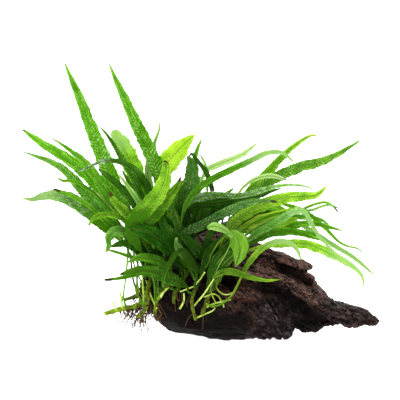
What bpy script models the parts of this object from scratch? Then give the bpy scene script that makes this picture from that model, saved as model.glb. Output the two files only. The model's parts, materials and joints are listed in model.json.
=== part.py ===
"""Java fern growing on a lump of driftwood.

One dark, worn lump of driftwood rests on its flat underside. Green creeping stems (rhizomes) cling to its
left end, and one long narrow frond after another rises from them and arches out to all sides.

Metres, +Z up, +X to the right and +Y away from the front. The origin is on the wood's flat underside.

Places are measured on a front sketch of squares, counted right and down from its top left corner.
The sketch looks down on the fern by VIEW_TILT from VIEW_DISTANCE, so a place is (across, down, depth):
two counts of squares and the real distance behind the front sketch's plane in millimetres.
"""

import itertools
import math

import bmesh
import bpy
import numpy as np
from mathutils import Vector
from mathutils.bvhtree import BVHTree

MM = 0.001

# ---- the front sketch -----------------------------------------------------------------------------------
SQUARE = 0.85 * MM
SKETCH_MIDDLE = (200.0, 200.0)
VIEW_CENTRE = np.array([-21.4, 0.0, 116.4]) * MM
VIEW_DISTANCE = 1.4
VIEW_TILT = math.radians(6.0)
FORWARD = np.array([0.0, math.cos(VIEW_TILT), -math.sin(VIEW_TILT)])
UPWARD = np.array([0.0, math.sin(VIEW_TILT), math.cos(VIEW_TILT)])
RIGHTWARD = np.array([1.0, 0.0, 0.0])
EYE = VIEW_CENTRE - VIEW_DISTANCE * FORWARD
BEYOND = 1.4  # a sight line this many times as long ends behind the fern

# ---- driving sizes --------------------------------------------------------------------------------------
GAP = 0.35 * MM  # left between neighbouring pieces
WOOD_STATIONS = 52
WOOD_SIDES = 26
WOOD_SQUARENESS = 0.74  # 1 is a round section, less is boxier
WOOD_LUMPS = 1.1 * MM
WOOD_FOOT = 0.7  # share of the half depth at which the outline's bottom lies in front of the middle
WOOD_FADE = 0.6  # how soon ridges and hollows fade towards the top and bottom
STEM_SMOOTHING = 4  # times that a rhizome's route is smoothed and lifted off the wood
FROND_RINGS = 14
STALK_HALF_WIDTH = 0.9 * MM
STALK_ABOVE = 0.6 * MM
STALK_BELOW = 0.8 * MM
BLADE_ABOVE = 0.35 * MM  # the blade's upper face above its edges, along the midrib
BLADE_BELOW = 0.75 * MM  # the midrib's lower side below the blade's edges
STALK_STANDS = 5.0 * MM  # how far a stalk stands straight off its rhizome
PULL_OF_ROUTE = 0.9  # how much a stalk leans towards its route, against 1 for straight off the wood
CLEARANCE = 0.3 * MM  # kept round a frond where it passes others
TIP_STARTS = 0.85  # share of a frond's length at which its tip begins to thin
TAPER_OF_TIP = 0.25  # taken off the thickness at the very tip

# ---- the wood's outline ---------------------------------------------------------------------------------
# (top across, top down, bottom across, bottom down, half depth in mm, depth of the middle in mm)
# The underside is worn flat at the height of the origin, which cuts the lower part of the middle rows off.
WOOD_OUTLINE = [
    (145.0, 287.0, 145.0, 301.0, 9, -4),
    (149.0, 279.0, 150.0, 312.0, 19, -3),
    (155.0, 271.0, 157.0, 323.0, 26, -2),
    (163.0, 264.0, 166.0, 331.5, 31, -1),
    (173.0, 256.0, 178.0, 336.5, 35, 0),
    (185.0, 247.0, 192.0, 338.5, 38, 0),
    (196.0, 238.5, 208.0, 342.0, 40, 1),
    (206.0, 233.0, 222.0, 346.0, 41, 2),
    (216.0, 231.5, 235.0, 347.0, 42, 2),
    (228.0, 233.5, 248.0, 345.0, 42, 2),
    (242.0, 238.0, 260.0, 345.0, 42, 2),
    (257.0, 243.0, 271.0, 345.0, 41, 2),
    (271.0, 248.5, 280.0, 345.0, 40, 2),
    (286.0, 254.0, 287.0, 343.0, 38, 2),
    (298.0, 260.0, 291.0, 339.5, 36, 2),
    (306.0, 263.5, 295.0, 334.0, 34, 2),
    (314.0, 266.5, 300.0, 333.0, 32, 2),
    (314.0, 270.5, 305.0, 335.5, 31, 2),
    (313.0, 275.0, 311.0, 335.0, 30, 2),
    (315.0, 280.0, 317.0, 334.5, 28, 2),
    (318.0, 285.5, 322.0, 332.5, 26, 2),
    (323.0, 290.5, 327.0, 330.0, 24, 2),
    (329.0, 296.0, 332.0, 328.0, 22, 2),
    (335.5, 300.5, 336.0, 328.0, 20, 1),
    (343.0, 302.0, 341.0, 328.4, 18, 1),
    (352.0, 305.0, 350.0, 327.4, 16, 0),
    (360.0, 308.0, 358.0, 326.2, 13.5, 0),
    (366.5, 310.5, 365.0, 326.8, 11, 0),
    (370.0, 313.0, 370.0, 326.4, 9, 0),
    (373.5, 315.5, 374.0, 325.5, 7, 0),
    (377.0, 318.0, 377.0, 323.8, 4.5, 0),
]
WOOD_LEFT_END = (143.5, 294.0, -4)
WOOD_RIGHT_END = (380.0, 321.0, 0)

# The beak of the slab overhangs: round a height the wood is pulled back, the more the further right it lies.
# (across where the pull starts, across where it is full, down in the middle, half height, pull), in squares
BEAK_UNDERCUT = (292.0, 311.0, 271.5, 3.5, 8.0)

# (line of sketch points, half width in squares, height in mm: above 0 is a ridge or lump, below 0 a hollow)
WOOD_FRONT = [
    ([(236, 248), (258, 252), (276, 257), (292, 262), (306, 266)], 5.5, 5.0),  # lip of the upper slab
    ([(268, 264), (281, 269), (293, 274), (303, 280), (310, 285)], 6.5, -13.0),  # hollow under the slab
    ([(236, 262), (262, 270), (285, 279), (301, 288), (318, 299), (335, 309), (374, 320)], 6.0, 5.5),  # rib
    ([(266, 287), (280, 293), (294, 302), (306, 312), (318, 320), (330, 323)], 8.0, -11.0),  # hollow under it
    ([(296, 325), (303, 327)], 7.0, -9.0),  # notch beneath, between the two feet
    ([(229, 292), (246, 291), (261, 291)], 9.0, 7.0),  # reddish burl
    ([(221, 281), (234, 280)], 5.0, -8.0),  # hole beside the burl
    ([(258, 308), (272, 320), (284, 331)], 8.0, 6.0),  # right hand foot
    ([(190, 328), (215, 331), (245, 329)], 8.0, 3.0),  # belly
    ([(351, 309), (354, 315)], 2.2, -3.0),  # crack across the snout
]
WOOD_BACK = [
    ([(210, 250), (240, 262), (275, 276), (305, 296), (340, 312)], 7.0, 4.5),
    ([(200, 278), (235, 287), (270, 300), (300, 314)], 9.0, -9.5),
    ([(225, 247), (262, 259), (298, 275)], 5.0, -5.0),
    ([(180, 300), (215, 309), (252, 320)], 9.0, 5.0),
    ([(285, 318), (300, 326)], 7.0, -7.0),
    ([(172, 282), (178, 292)], 8.0, -4.0),
]

# ---- the rhizomes ---------------------------------------------------------------------------------------
# name: (radius in mm, route from the growing tip), where (across, down) lies on the wood's front face,
# (across, down, "back") on its back face, and (across, down, depth) hangs free or lies on top
RHIZOMES = {
    "rhizome_left": (2.2, [
        (104.5, 314, -19), (112, 311.5, -19), (120, 309, -18), (128, 308, -18), (137, 306, -18),
        (144, 301, -20)]),
    "rhizome_upper_left": (1.8, [
        (124, 300, -2), (132, 297.5, -2), (139, 294.5, -1), (145, 288, 0), (149, 279, 2), (155, 270, 3)]),
    "rhizome_drooping": (2.1, [
        (137.5, 317, -27), (142, 314, -28), (145.5, 309, -29), (147.5, 301, -28), (149, 293), (152, 285),
        (157, 277)]),
    "rhizome_low_left": (1.7, [(157, 315), (157.5, 308), (158, 301), (162, 293), (168, 285), (176, 277)]),
    "rhizome_middle": (1.7, [(175, 303), (174, 297), (177, 291), (182, 283), (187, 275), (191, 267)]),
    "rhizome_front": (1.6, [
        (196, 319), (194, 312), (193, 306), (192, 300), (194, 293), (198, 284), (202, 275), (206, 266)]),
    "rhizome_right": (1.9, [
        (202.5, 313), (205, 306), (207, 299), (211, 291), (216, 283), (221, 275), (227, 266)]),
    "rhizome_top": (2.0, [
        (162, 262, 4), (173, 253, 5), (185, 244, 6), (196, 236, 6), (208, 230.5, 6), (222, 230, 5),
        (234, 233, 4)]),
    "rhizome_back": (2.0, [
        (162, 292, "back"), (174, 283, "back"), (188, 275, "back"), (203, 268, "back"), (218, 262, "back")]),
}

# ---- the thickest roots ---------------------------------------------------------------------------------
# name: (radius in mm, route with depths): they hang from the rhizomes and touch nothing
ROOTS = {
    "root_left": (0.45, [
        (129, 311.4, -18), (131, 316, -19), (129, 321, -18), (132, 326, -19), (130.5, 330, -18)]),
    "root_drooping": (0.45, [
        (143, 317.4, -28), (145, 322, -29), (149, 325, -28), (150, 330, -27), (155, 333, -28)]),
}

# ---- the fronds -----------------------------------------------------------------------------------------
# A form is (how far up the blade it is widest, how pointed it is: 0.5 is blunt and 1.5 is drawn out).
LANCE = (0.34, 0.85)
BROAD = (0.42, 0.6)
BLUNT = (0.6, 0.4)
TAILED = (0.26, 1.3)
EVEN = (0.36, 0.5)

# name: (rhizome, share of the way along it, half width in mm, share of the length that is stalk, form,
#        turn in degrees of the blade's face from the front, twist in degrees from base to tip,
#        depths in mm at the start, middle and end of the route, route from above the base to the tip)
FRONDS = {
    "frond_bright_centre": ("rhizome_low_left", 0.62, 7.0, 0.34, (0.46, 0.4), 8, 10, (-38, -54, -50), [
        (151, 271), (140, 250), (132, 233), (136, 219), (146, 208), (156, 197), (163, 184), (166, 171),
        (165, 160)]),
    "frond_bent_front": ("rhizome_front", 0.93, 7.6, 0.54, (0.42, 1.15), 5, 0, (-47, -56, -60), [
        (208, 264), (212, 253), (219, 242), (228, 234.5), (236, 238), (240, 247), (239, 257), (235, 267.5)]),
    "frond_front_right_low": ("rhizome_right", 0.55, 2.9, 0.2, TAILED, 10, 10, (-48, -60, -66), [
        (213, 280), (219, 273.5), (228, 271.5), (238, 273), (248, 276.5), (258, 279), (268, 280.5),
        (280, 279.5)]),
    "frond_front_right_arch": ("rhizome_right", 0.2, 2.6, 0.42, EVEN, 15, 10, (-47, -56, -58), [
        (216, 306), (224, 302.5), (232, 295), (238, 284), (243, 273), (249, 262.5), (257, 253),
        (267, 245), (279, 241), (289, 242.5), (296, 248), (301, 260)]),
    "frond_second_centre": ("rhizome_low_left", 0.8, 5.8, 0.42, LANCE, 15, 10, (-38, -48, -30), [
        (158, 268), (148, 250), (141, 235), (146, 224), (155, 214), (164, 203), (172, 193), (178, 184),
        (181, 176)]),
    "frond_low_broad": ("rhizome_front", 0.48, 5.4, 0.2, LANCE, 10, 0, (-40, -52, -66), [
        (188, 288), (180, 282.5), (168, 277.5), (155, 272.5), (142, 270.5), (130, 271.5), (119, 275)]),
    "frond_dark_low_big": ("rhizome_middle", 0.6, 7.8, 0.3, BROAD, 20, 0, (-40, -50, -58), [
        (181, 272), (177, 258), (168, 246), (157, 238), (146, 232), (136, 229), (128, 229)]),
    "frond_pale_short": ("rhizome_middle", 0.35, 4.4, 0.32, LANCE, 25, 0, (-38, -48, -56), [
        (174, 284), (171, 272), (163, 264), (154, 259.5), (145, 257.5), (136, 258.5), (127, 263)]),
    "frond_spade_tip": ("rhizome_front", 0.62, 4.0, 0.3, BROAD, 25, 0, (-44, -54, -60), [
        (197, 274), (190, 262), (181, 252), (176, 244), (177, 237)]),
    "frond_crumpled_yellow": ("rhizome_drooping", 0.92, 4.0, 0.56, (0.4, 0.7), 10, 10, (-34, -44, -56), [
        (156, 262), (147, 243), (138, 227), (128, 215), (119, 206), (112, 198), (109.5, 191)]),
    "frond_left_hooked": ("rhizome_drooping", 0.7, 2.9, 0.46, EVEN, 15, 20, (-35, -46, -62), [
        (146, 268), (141, 246), (134, 228), (124, 219), (112, 214.5), (101, 215), (93, 219), (88, 226)]),
    "frond_pale_curl": ("rhizome_left", 0.52, 4.8, 0.5, (0.42, 0.7), 25, 0, (-19, -30, -44), [
        (123.5, 294), (126, 277), (127.5, 260), (128, 245), (126, 234), (118, 231), (110, 235),
        (108, 242), (108.5, 248), (105.5, 253)]),
    "frond_left_low_broad": ("rhizome_upper_left", 0.4, 7.2, 0.36, (0.28, 1.0), 12, 30, (-6, -30, -62), [
        (134, 284), (131.5, 268), (129, 252), (119, 237), (104, 223), (91, 212), (78, 203.5),
        (65, 197.5), (51, 195), (39, 197), (29, 200), (21, 198)]),
    "frond_left_middle": ("rhizome_drooping", 0.3, 5.8, 0.36, TAILED, 12, 25, (-32, -20, -32), [
        (138, 298), (137, 276), (137, 256), (128, 238), (113, 222), (99, 208), (86, 194), (74, 180),
        (63, 169), (51, 162), (41, 158), (31, 154.5), (20.5, 151)]),
    "frond_left_thin_tip": ("rhizome_middle", 0.85, 6.4, 0.28, TAILED, 15, 20, (-24, -20, -2), [
        (172, 258), (151, 237), (128, 215), (111, 198), (98, 180), (88, 166), (78, 156), (66, 148),
        (56, 140), (50, 137)]),
    "frond_arch_over": ("rhizome_middle", 0.97, 3.8, 0.4, (0.22, 1.7), 8, 60, (-28, -34, -46), [
        (178, 248), (169, 226), (158, 205), (148, 188), (138, 174), (126, 164.5), (112, 160.5),
        (99, 162.5), (87, 168), (77, 172), (71, 173)]),
    "frond_tall_left": ("rhizome_low_left", 0.97, 6.5, 0.3, LANCE, 5, 15, (-18, -2, 4), [
        (157, 262), (140, 236), (126, 210), (114, 184), (105, 162), (96, 140), (87, 117), (78.5, 95),
        (70, 76), (64, 61)]),
    "frond_tall_right": ("rhizome_front", 0.97, 6.2, 0.3, LANCE, 10, 10, (-28, -16, -16), [
        (193, 252), (177, 224), (166, 196), (158, 171), (150, 152), (141, 134), (132, 115), (123, 95),
        (115, 78), (108.5, 62)]),
    "frond_long_left_upper": ("rhizome_drooping", 0.98, 5.2, 0.28, (0.36, 0.6), 15, 25, (-12, -4, 16), [
        (152, 254), (136, 232), (119, 211), (103, 192), (88, 176), (74, 163.5), (60, 154), (46, 146),
        (34, 138), (27, 131), (22, 129)]),
    "frond_dark_stripe": ("rhizome_low_left", 0.9, 5.0, 0.34, LANCE, 30, 20, (-30, -36, -42), [
        (166, 256), (156, 234), (144, 212), (132, 199), (119, 186), (107, 175), (97, 168)]),
    "frond_dark_upright": ("rhizome_top", 0.52, 7.4, 0.28, BROAD, 8, 10, (-4, -10, -2), [
        (190, 232), (190, 214), (190, 198), (191, 184), (192, 172), (191, 162), (187, 156)]),
    "frond_long_right_arch": ("rhizome_front", 0.85, 3.0, 0.34, EVEN, 30, 20, (-40, -34, -44), [
        (195, 262), (185, 243), (181, 226), (186, 205), (196, 191), (208, 181.5), (223, 173.5),
        (238, 166.5), (252, 160), (264, 154), (275, 151.5), (285, 154), (294, 162)]),
    "frond_grey_diagonal": ("rhizome_front", 0.75, 5.0, 0.3, EVEN, 35, 10, (-46, -44, -60), [
        (190, 262), (180, 246), (182, 235), (193, 229), (205, 223.5), (218, 216.5), (231, 209.5),
        (245, 203.5), (260, 200.5), (277, 202)]),
    "frond_glossy_level": ("rhizome_top", 0.64, 4.8, 0.24, (0.28, 1.7), 35, 15, (-6, -22, -24), [
        (196, 224), (190, 209), (197, 198), (210, 195.5), (225, 196.5), (240, 196.5), (254, 193),
        (268, 188.5), (283, 185), (298, 185), (309, 187.5), (318, 191)]),
    "frond_dark_level": ("rhizome_right", 0.93, 3.6, 0.3, LANCE, 40, 10, (-36, -30, -44), [
        (214, 254), (198, 236), (187, 219), (191, 208), (204, 205), (220, 203.5), (238, 201), (254, 198),
        (270, 192), (282, 188)]),
    "frond_knee": ("rhizome_right", 0.7, 3.5, 0.3, EVEN, 25, 10, (-46, -40, -58), [
        (221, 269), (230, 257), (241, 246), (256, 234), (272, 225), (287, 216), (298, 208), (304, 212),
        (310, 221), (317, 233), (325, 243), (337, 254)]),
    "frond_bright_right_tip": ("rhizome_right", 0.84, 5.4, 0.28, BROAD, 15, 0, (-38, -28, -26), [
        (219, 254), (226, 236), (235, 222), (248, 212), (262, 205), (278, 199.5), (294, 196.5),
        (308, 196), (318, 194), (327, 186)]),
    "frond_yellow_broad": ("rhizome_top", 0.97, 6.4, 0.28, LANCE, 15, 0, (-6, -14, -20), [
        (236, 229), (244, 225), (253, 224), (262, 221.5), (272, 218.5), (284, 214), (294, 210), (301, 206)]),
    "frond_far_right_long": ("rhizome_top", 0.84, 5.6, 0.2, LANCE, 30, 10, (0, 12, 34), [
        (222, 220), (232, 209), (244, 200), (258, 189), (272, 179.5), (288, 171.5), (304, 165.5),
        (320, 162), (334, 156), (348, 148), (362, 139.5)]),
    "frond_light_far_right": ("rhizome_top", 0.72, 4.4, 0.3, TAILED, 20, 10, (10, 28, 50), [
        (212, 221), (224, 211), (238, 200), (253, 187), (266, 174), (277, 162), (288, 151), (299, 142),
        (308, 137.5), (315, 134), (319, 136.5)]),
    "frond_pale_arc": ("rhizome_top", 0.9, 2.4, 0.4, (0.6, 0.8), 30, 30, (-3, -6, 6), [
        (228, 222), (232, 208), (238, 194), (248, 183), (261, 177), (274, 176), (287, 180)]),
    "frond_light_right": ("rhizome_top", 0.58, 3.8, 0.42, (0.46, 0.42), 40, 10, (8, 20, 30), [
        (200, 223), (199, 203), (200, 184), (207, 170), (220, 163.5), (233, 158.5), (245, 152.5),
        (257, 143)]),
    "frond_curled_tip": ("rhizome_top", 0.68, 3.0, 0.4, (0.3, 0.8), 40, 10, (0, -3, -14), [
        (208, 222), (213, 207), (213, 196), (211, 186), (207, 174), (201, 165), (195, 158), (191, 153.5),
        (188.5, 157)]),
    "frond_backlit_left": ("rhizome_top", 0.12, 8.3, 0.3, BLUNT, 8, 10, (6, 18, 44), [
        (163, 247), (153, 222), (144, 200), (138, 180), (131, 163), (124, 149), (118, 138), (113.5, 130)]),
    "frond_backlit_right": ("rhizome_top", 0.4, 9.2, 0.44, (0.5, 0.85), 8, 0, (13, 26, 40), [
        (181, 236), (170, 213), (161, 194), (160, 178), (166, 165), (176, 153), (187, 141.5), (195, 134.5)]),
    "frond_narrow_dark": ("rhizome_top", 0.03, 3.0, 0.34, LANCE, 30, 10, (2, 0, 8), [
        (157, 240), (148, 212), (139, 190), (130, 172), (121, 157), (113, 144), (105, 132), (99.5, 126)]),
    "frond_slip_between": ("rhizome_top", 0.26, 3.6, 0.4, TAILED, 20, 10, (8, 4, -2), [
        (170, 239), (158, 212), (150, 188), (148, 169), (151, 154), (155, 141), (159, 130), (160, 120)]),
    "frond_low_yellow": ("rhizome_right", 0.6, 4.9, 0.26, (0.46, 1.25), 15, 0, (-47, -38, -44), [
        (219, 270), (234, 257), (252, 249.5), (268, 245.5), (284, 243.5), (300, 243.5), (315, 246.5),
        (330, 253.5), (345, 261.5), (356, 269), (363, 278), (364, 290)]),
    "frond_dark_right_low": ("rhizome_right", 0.97, 3.9, 0.3, LANCE, 25, 0, (-42, -34, -46), [
        (232, 254), (242, 246), (256, 239), (270, 233.5), (284, 231), (297, 232.5), (309, 236), (323, 241)]),
    "frond_right_small_tip": ("rhizome_top", 0.78, 3.4, 0.3, LANCE, 20, 0, (14, 8, 18), [
        (217, 225), (236, 224), (256, 226.5), (276, 228.5), (294, 225.5), (308, 223), (320, 224.5),
        (331, 227.5), (343, 231)]),
    "frond_thin_tail": ("rhizome_back", 0.97, 2.3, 0.3, (0.5, 0.5), 20, 0, (46, 24, 32), [
        (224, 240), (238, 226), (256, 219), (276, 219), (298, 223), (315, 233), (330, 243), (345, 252),
        (358, 260), (366, 268), (374, 275)]),
    "frond_behind_right": ("rhizome_back", 0.85, 4.2, 0.3, LANCE, 30, 0, (48, 30, 38), [
        (217, 240), (229, 226), (244, 218), (260, 214.5), (273, 213.5), (286, 215), (300, 217),
        (313, 217.5), (322, 220), (331, 227)]),
    "frond_back_right": ("rhizome_back", 0.75, 6.0, 0.28, LANCE, 30, 20, (54, 66, 76), [
        (216, 243), (229, 226), (244, 212), (262, 206), (279, 208), (294, 217)]),
    "frond_back_upright": ("rhizome_back", 0.6, 6.4, 0.3, LANCE, 15, 15, (46, 56, 64), [
        (203, 243), (199, 222), (197, 203), (196, 187), (192, 172)]),
    "frond_back_middle": ("rhizome_back", 0.45, 6.8, 0.28, BROAD, 30, 10, (48, 68, 86), [
        (190, 254), (183, 234), (176, 216), (168, 206), (160, 203)]),
    "frond_back_low": ("rhizome_back", 0.3, 6.0, 0.26, LANCE, 35, 10, (50, 74, 94), [
        (181, 264), (174, 248), (165, 237), (156, 233), (148, 237)]),
    "frond_back_left": ("rhizome_back", 0.15, 6.0, 0.3, LANCE, 25, 10, (44, 56, 80), [
        (168, 272), (154, 252), (140, 233), (126, 219), (113, 212), (103, 212)]),
    "frond_back_far_right": ("rhizome_back", 0.52, 5.6, 0.26, LANCE, 35, 10, (50, 72, 90), [
        (207, 252), (217, 240), (231, 232), (245, 231), (258, 236)]),
}

LEAF_COLOURS = [(0.10, 0.32, 0.015), (0.16, 0.42, 0.02), (0.05, 0.22, 0.015)]


# ---- sketch and curves ----------------------------------------------------------------------------------
def sight_line(across, down):
    """The direction from the eye through a square of the sketch."""
    return (
        FORWARD * VIEW_DISTANCE
        + RIGHTWARD * (across - SKETCH_MIDDLE[0]) * SQUARE
        + UPWARD * (SKETCH_MIDDLE[1] - down) * SQUARE
    )


def place(across, down, depth):
    """The point seen at a square of the sketch that lies depth millimetres behind the origin."""
    line = sight_line(across, down)
    return EYE + line * (depth * MM - EYE[1]) / line[1]


def sketch_of(points):
    """The squares of the sketch, as two arrays, at which points are seen."""
    offset = points - EYE
    away = offset @ FORWARD / VIEW_DISTANCE
    across = SKETCH_MIDDLE[0] + offset @ RIGHTWARD / away / SQUARE
    down = SKETCH_MIDDLE[1] - offset @ UPWARD / away / SQUARE
    return across, down


def smooth_route(points, count):
    """Count points, evenly spaced, on the Catmull-Rom curve through the given points."""
    known = np.asarray(points, float)
    ends = np.vstack([2 * known[0] - known[1], known, 2 * known[-1] - known[-2]])
    t = np.linspace(0, 1, 12, endpoint=False)[:, None]
    pieces = [
        0.5 * (2 * b + (c - a) * t + (2 * a - 5 * b + 4 * c - d) * t**2 + (3 * b - a - 3 * c + d) * t**3)
        for a, b, c, d in zip(ends, ends[1:], ends[2:], ends[3:])
    ]
    fine = np.vstack([*pieces, known[-1:]])
    reach = np.concatenate([[0], np.cumsum(np.linalg.norm(np.diff(fine, axis=0), axis=1))])
    even = np.linspace(0, reach[-1], count)
    return np.column_stack([np.interp(even, reach, axis) for axis in fine.T])


def unit(vectors):
    return vectors / np.maximum(np.linalg.norm(vectors, axis=-1, keepdims=True), 1e-12)


# ---- meshes ---------------------------------------------------------------------------------------------
def make_material(name, colour, roughness):
    material = bpy.data.materials.new(name)
    material.use_nodes = True
    shader = material.node_tree.nodes["Principled BSDF"]
    shader.inputs["Base Color"].default_value = (*colour, 1)
    shader.inputs["Roughness"].default_value = roughness
    shader.inputs["Metallic"].default_value = 0.0
    return material


def loft_faces(rings, sides, start, finish):
    """Quads between neighbouring rings, and fans to the two end points with indices start and finish."""
    faces = [
        (r * sides + s, r * sides + (s + 1) % sides, (r + 1) * sides + (s + 1) % sides, (r + 1) * sides + s)
        for r in range(rings - 1)
        for s in range(sides)
    ]
    last = (rings - 1) * sides
    faces += [(start, (s + 1) % sides, s) for s in range(sides)]
    faces += [(finish, last + s, last + (s + 1) % sides) for s in range(sides)]
    return faces


def loft(rings, first_point, last_point):
    """Vertices and faces of the closed solid through rings of points, shape (rings, sides, 3)."""
    count, sides = rings.shape[:2]
    vertices = np.vstack([rings.reshape(-1, 3), first_point, last_point])
    return vertices, loft_faces(count, sides, count * sides, count * sides + 1)


def add_solid(name, vertices, faces, material, collection):
    """An object from vertices and faces, with its normals made to point out."""
    mesh = bpy.data.meshes.new(name)
    mesh.from_pydata(vertices.tolist(), [], faces)
    work = bmesh.new()
    work.from_mesh(mesh)
    bmesh.ops.recalc_face_normals(work, faces=work.faces)
    work.to_mesh(mesh)
    work.free()
    mesh.materials.append(material)
    mesh.shade_smooth()
    mesh.set_sharp_from_angle(angle=math.radians(50))
    solid = bpy.data.objects.new(name, mesh)
    collection.objects.link(solid)
    return solid


# ---- the driftwood --------------------------------------------------------------------------------------
def distance_to_line(across, down, line):
    """How far, in squares, each point lies from a bent line of sketch points."""
    nearest = np.full(across.shape, np.inf)
    for (ax, ay), (bx, by) in zip(line, line[1:]):
        length = (bx - ax) ** 2 + (by - ay) ** 2
        t = np.clip(((across - ax) * (bx - ax) + (down - ay) * (by - ay)) / length, 0, 1)
        nearest = np.minimum(nearest, np.hypot(across - ax - t * (bx - ax), down - ay - t * (by - ay)))
    return nearest


def relief(across, down, features):
    """Height in millimetres of the ridges and hollows: each a bell across its own line."""
    height = np.zeros(across.shape)
    for line, half_width, rise in features:
        height += rise * np.exp(-((distance_to_line(across, down, line) / half_width) ** 2))
    return height


def soft_lumps(points):
    """Broad, uneven swellings, from -1 to 1, as a sum of slanting waves."""
    x, y, z = (points / MM).T
    waves = np.sin(0.11 * x + 0.07 * z + 1.3) * np.sin(0.13 * z - 0.09 * y + 0.4)
    return 0.6 * waves + 0.4 * np.sin(0.23 * x - 0.19 * y + 2.1) * np.sin(0.21 * z + 0.17 * y)


def smooth_stations(rows, stations):
    """Catmull-Rom values of the rows at fractional row numbers."""
    padded = np.vstack([2 * rows[0] - rows[1], rows, 2 * rows[-1] - rows[-2]])
    at = np.clip(stations.astype(int), 0, len(rows) - 2)
    t = (stations - at)[:, None]
    a, b, c, d = (padded[at + k] for k in range(4))
    return 0.5 * (2 * b + (c - a) * t + (2 * a - 5 * b + 4 * c - d) * t**2 + (3 * b - a - 3 * c + d) * t**3)


def wood_rings():
    """Rings of points around the lump, from its left end to its snout."""
    outline = np.array(WOOD_OUTLINE)
    tops = np.array([place(a, d, mid) for a, d, _, _, _, mid in outline])
    bottoms = np.array([place(a, d, mid - WOOD_FOOT * half) for _, _, a, d, half, mid in outline])
    ribs = np.column_stack([tops[:, [0, 2]], bottoms[:, [0, 2]], outline[:, 4:] * MM])
    stations = np.linspace(0, len(ribs) - 1, WOOD_STATIONS)
    fine = smooth_stations(ribs, stations)
    top, bottom, half, middle = fine[:, 0:2], fine[:, 2:4], fine[:, 4], fine[:, 5]
    around = np.linspace(0, 2 * math.pi, WOOD_SIDES, endpoint=False)
    up = np.sign(np.cos(around)) * np.abs(np.cos(around)) ** WOOD_SQUARENESS
    out = np.sign(np.sin(around)) * np.abs(np.sin(around)) ** WOOD_SQUARENESS
    centre = (top + bottom) / 2
    reach = (top - bottom) / 2
    rings = np.empty((WOOD_STATIONS, WOOD_SIDES, 3))
    rings[:, :, 0] = centre[:, None, 0] + reach[:, None, 0] * up
    rings[:, :, 2] = centre[:, None, 1] + reach[:, None, 1] * up
    rings[:, :, 1] = middle[:, None] - half[:, None] * out
    return carve(rings, out)


def carve(rings, out):
    """Raises the ridges and sinks the hollows of the front and back, undercuts the beak, then wears the
    underside flat."""
    points = rings.reshape(-1, 3)
    across, down = sketch_of(points)
    facing = np.tile(out, len(rings))  # 1 at the front, -1 at the back, 0 at the top and bottom
    front = relief(across, down, WOOD_FRONT) * np.clip(facing, 0, 1) ** WOOD_FADE
    back = relief(across, down, WOOD_BACK) * np.clip(-facing, 0, 1) ** WOOD_FADE
    centre = rings.mean(1, keepdims=True)
    outward = unit(rings - centre).reshape(-1, 3)
    points = points + outward * (WOOD_LUMPS * soft_lumps(points))[:, None]
    points[:, 1] += (back - front) * MM
    starts, full, middle_down, half_height, pull = BEAK_UNDERCUT
    share = np.clip((across - starts) / (full - starts), 0, 1)
    nearness = np.exp(-(((down - middle_down) / half_height) ** 2)) * share**2 * (3 - 2 * share)
    points[:, 0] -= pull * SQUARE * nearness
    points[:, 2] = np.maximum(points[:, 2], 0)
    return points.reshape(rings.shape)


def make_wood(material, collection):
    vertices, faces = loft(wood_rings(), place(*WOOD_LEFT_END), place(*WOOD_RIGHT_END))
    return add_solid("driftwood", vertices, faces, material, collection)


def tree_of(vertices, faces):
    return BVHTree.FromPolygons([tuple(v) for v in vertices], faces)


def surface_tree(solid):
    mesh = solid.data
    return tree_of([v.co for v in mesh.vertices], [tuple(p.vertices) for p in mesh.polygons])


def lift_clear(points, tree, distance):
    """Moves each point off the surface, until it lies at least distance outside it."""
    lifted = points.copy()
    for i, point in enumerate(points):
        spot, normal, _, _ = tree.find_nearest(Vector(point))
        height = (Vector(point) - spot).dot(normal)
        if height < distance:
            lifted[i] = point + np.array(normal) * (distance - height)
    return lifted


# ---- the rhizomes ---------------------------------------------------------------------------------------
def rhizome_place(point, tree):
    """A point of a rhizome's route: on the wood's front or back face, or where its own depth says."""
    if len(point) == 3 and point[2] != "back":
        return place(*point)
    line = Vector(sight_line(*point[:2]))
    if len(point) == 2:
        return np.array(tree.ray_cast(Vector(EYE), line)[0])
    beyond = Vector(EYE) + line * BEYOND
    return np.array(tree.ray_cast(beyond, -line)[0])


def rhizome_route(radius, route, tree):
    points = smooth_route([rhizome_place(p, tree) for p in route], 3 * len(route))
    for _ in range(STEM_SMOOTHING):
        points = lift_clear(points, tree, radius + 2 * GAP)
        points[1:-1] = (points[:-2] + 2 * points[1:-1] + points[2:]) / 4
    return lift_clear(points, tree, radius + 2 * GAP)


def make_tube(name, radius, points, ends, material, collection):
    """A bent round stem: a bevelled curve, with its first and last thickness as shares of the radius. Returns
    its vertices and faces."""
    curve = bpy.data.curves.new(name, "CURVE")
    curve.dimensions = "3D"
    curve.bevel_depth = radius
    curve.bevel_resolution = 1
    curve.use_fill_caps = True
    spline = curve.splines.new("POLY")
    spline.points.add(len(points) - 1)
    for i, (handle, point) in enumerate(zip(spline.points, points)):
        share = i / (len(points) - 1)
        handle.co = (*point, 1)
        handle.radius = ends[0] + (ends[1] - ends[0]) * min(1.0, 2 * share)
    curve.materials.append(material)
    stem = bpy.data.objects.new(name, curve)
    collection.objects.link(stem)
    bpy.context.view_layer.update()
    return evaluated_mesh(stem)


# ---- the fronds -----------------------------------------------------------------------------------------
def blade_outline(share, stalk, form):
    """The blade's width along the frond, 0 on the stalk, 1 where it is widest and 0 again at the tip."""
    widest, pointed = form
    blade = np.clip((share - stalk) / (1 - stalk), 0, 1)
    return np.sin(math.pi * blade ** (math.log(0.5) / math.log(widest))) ** pointed


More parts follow.
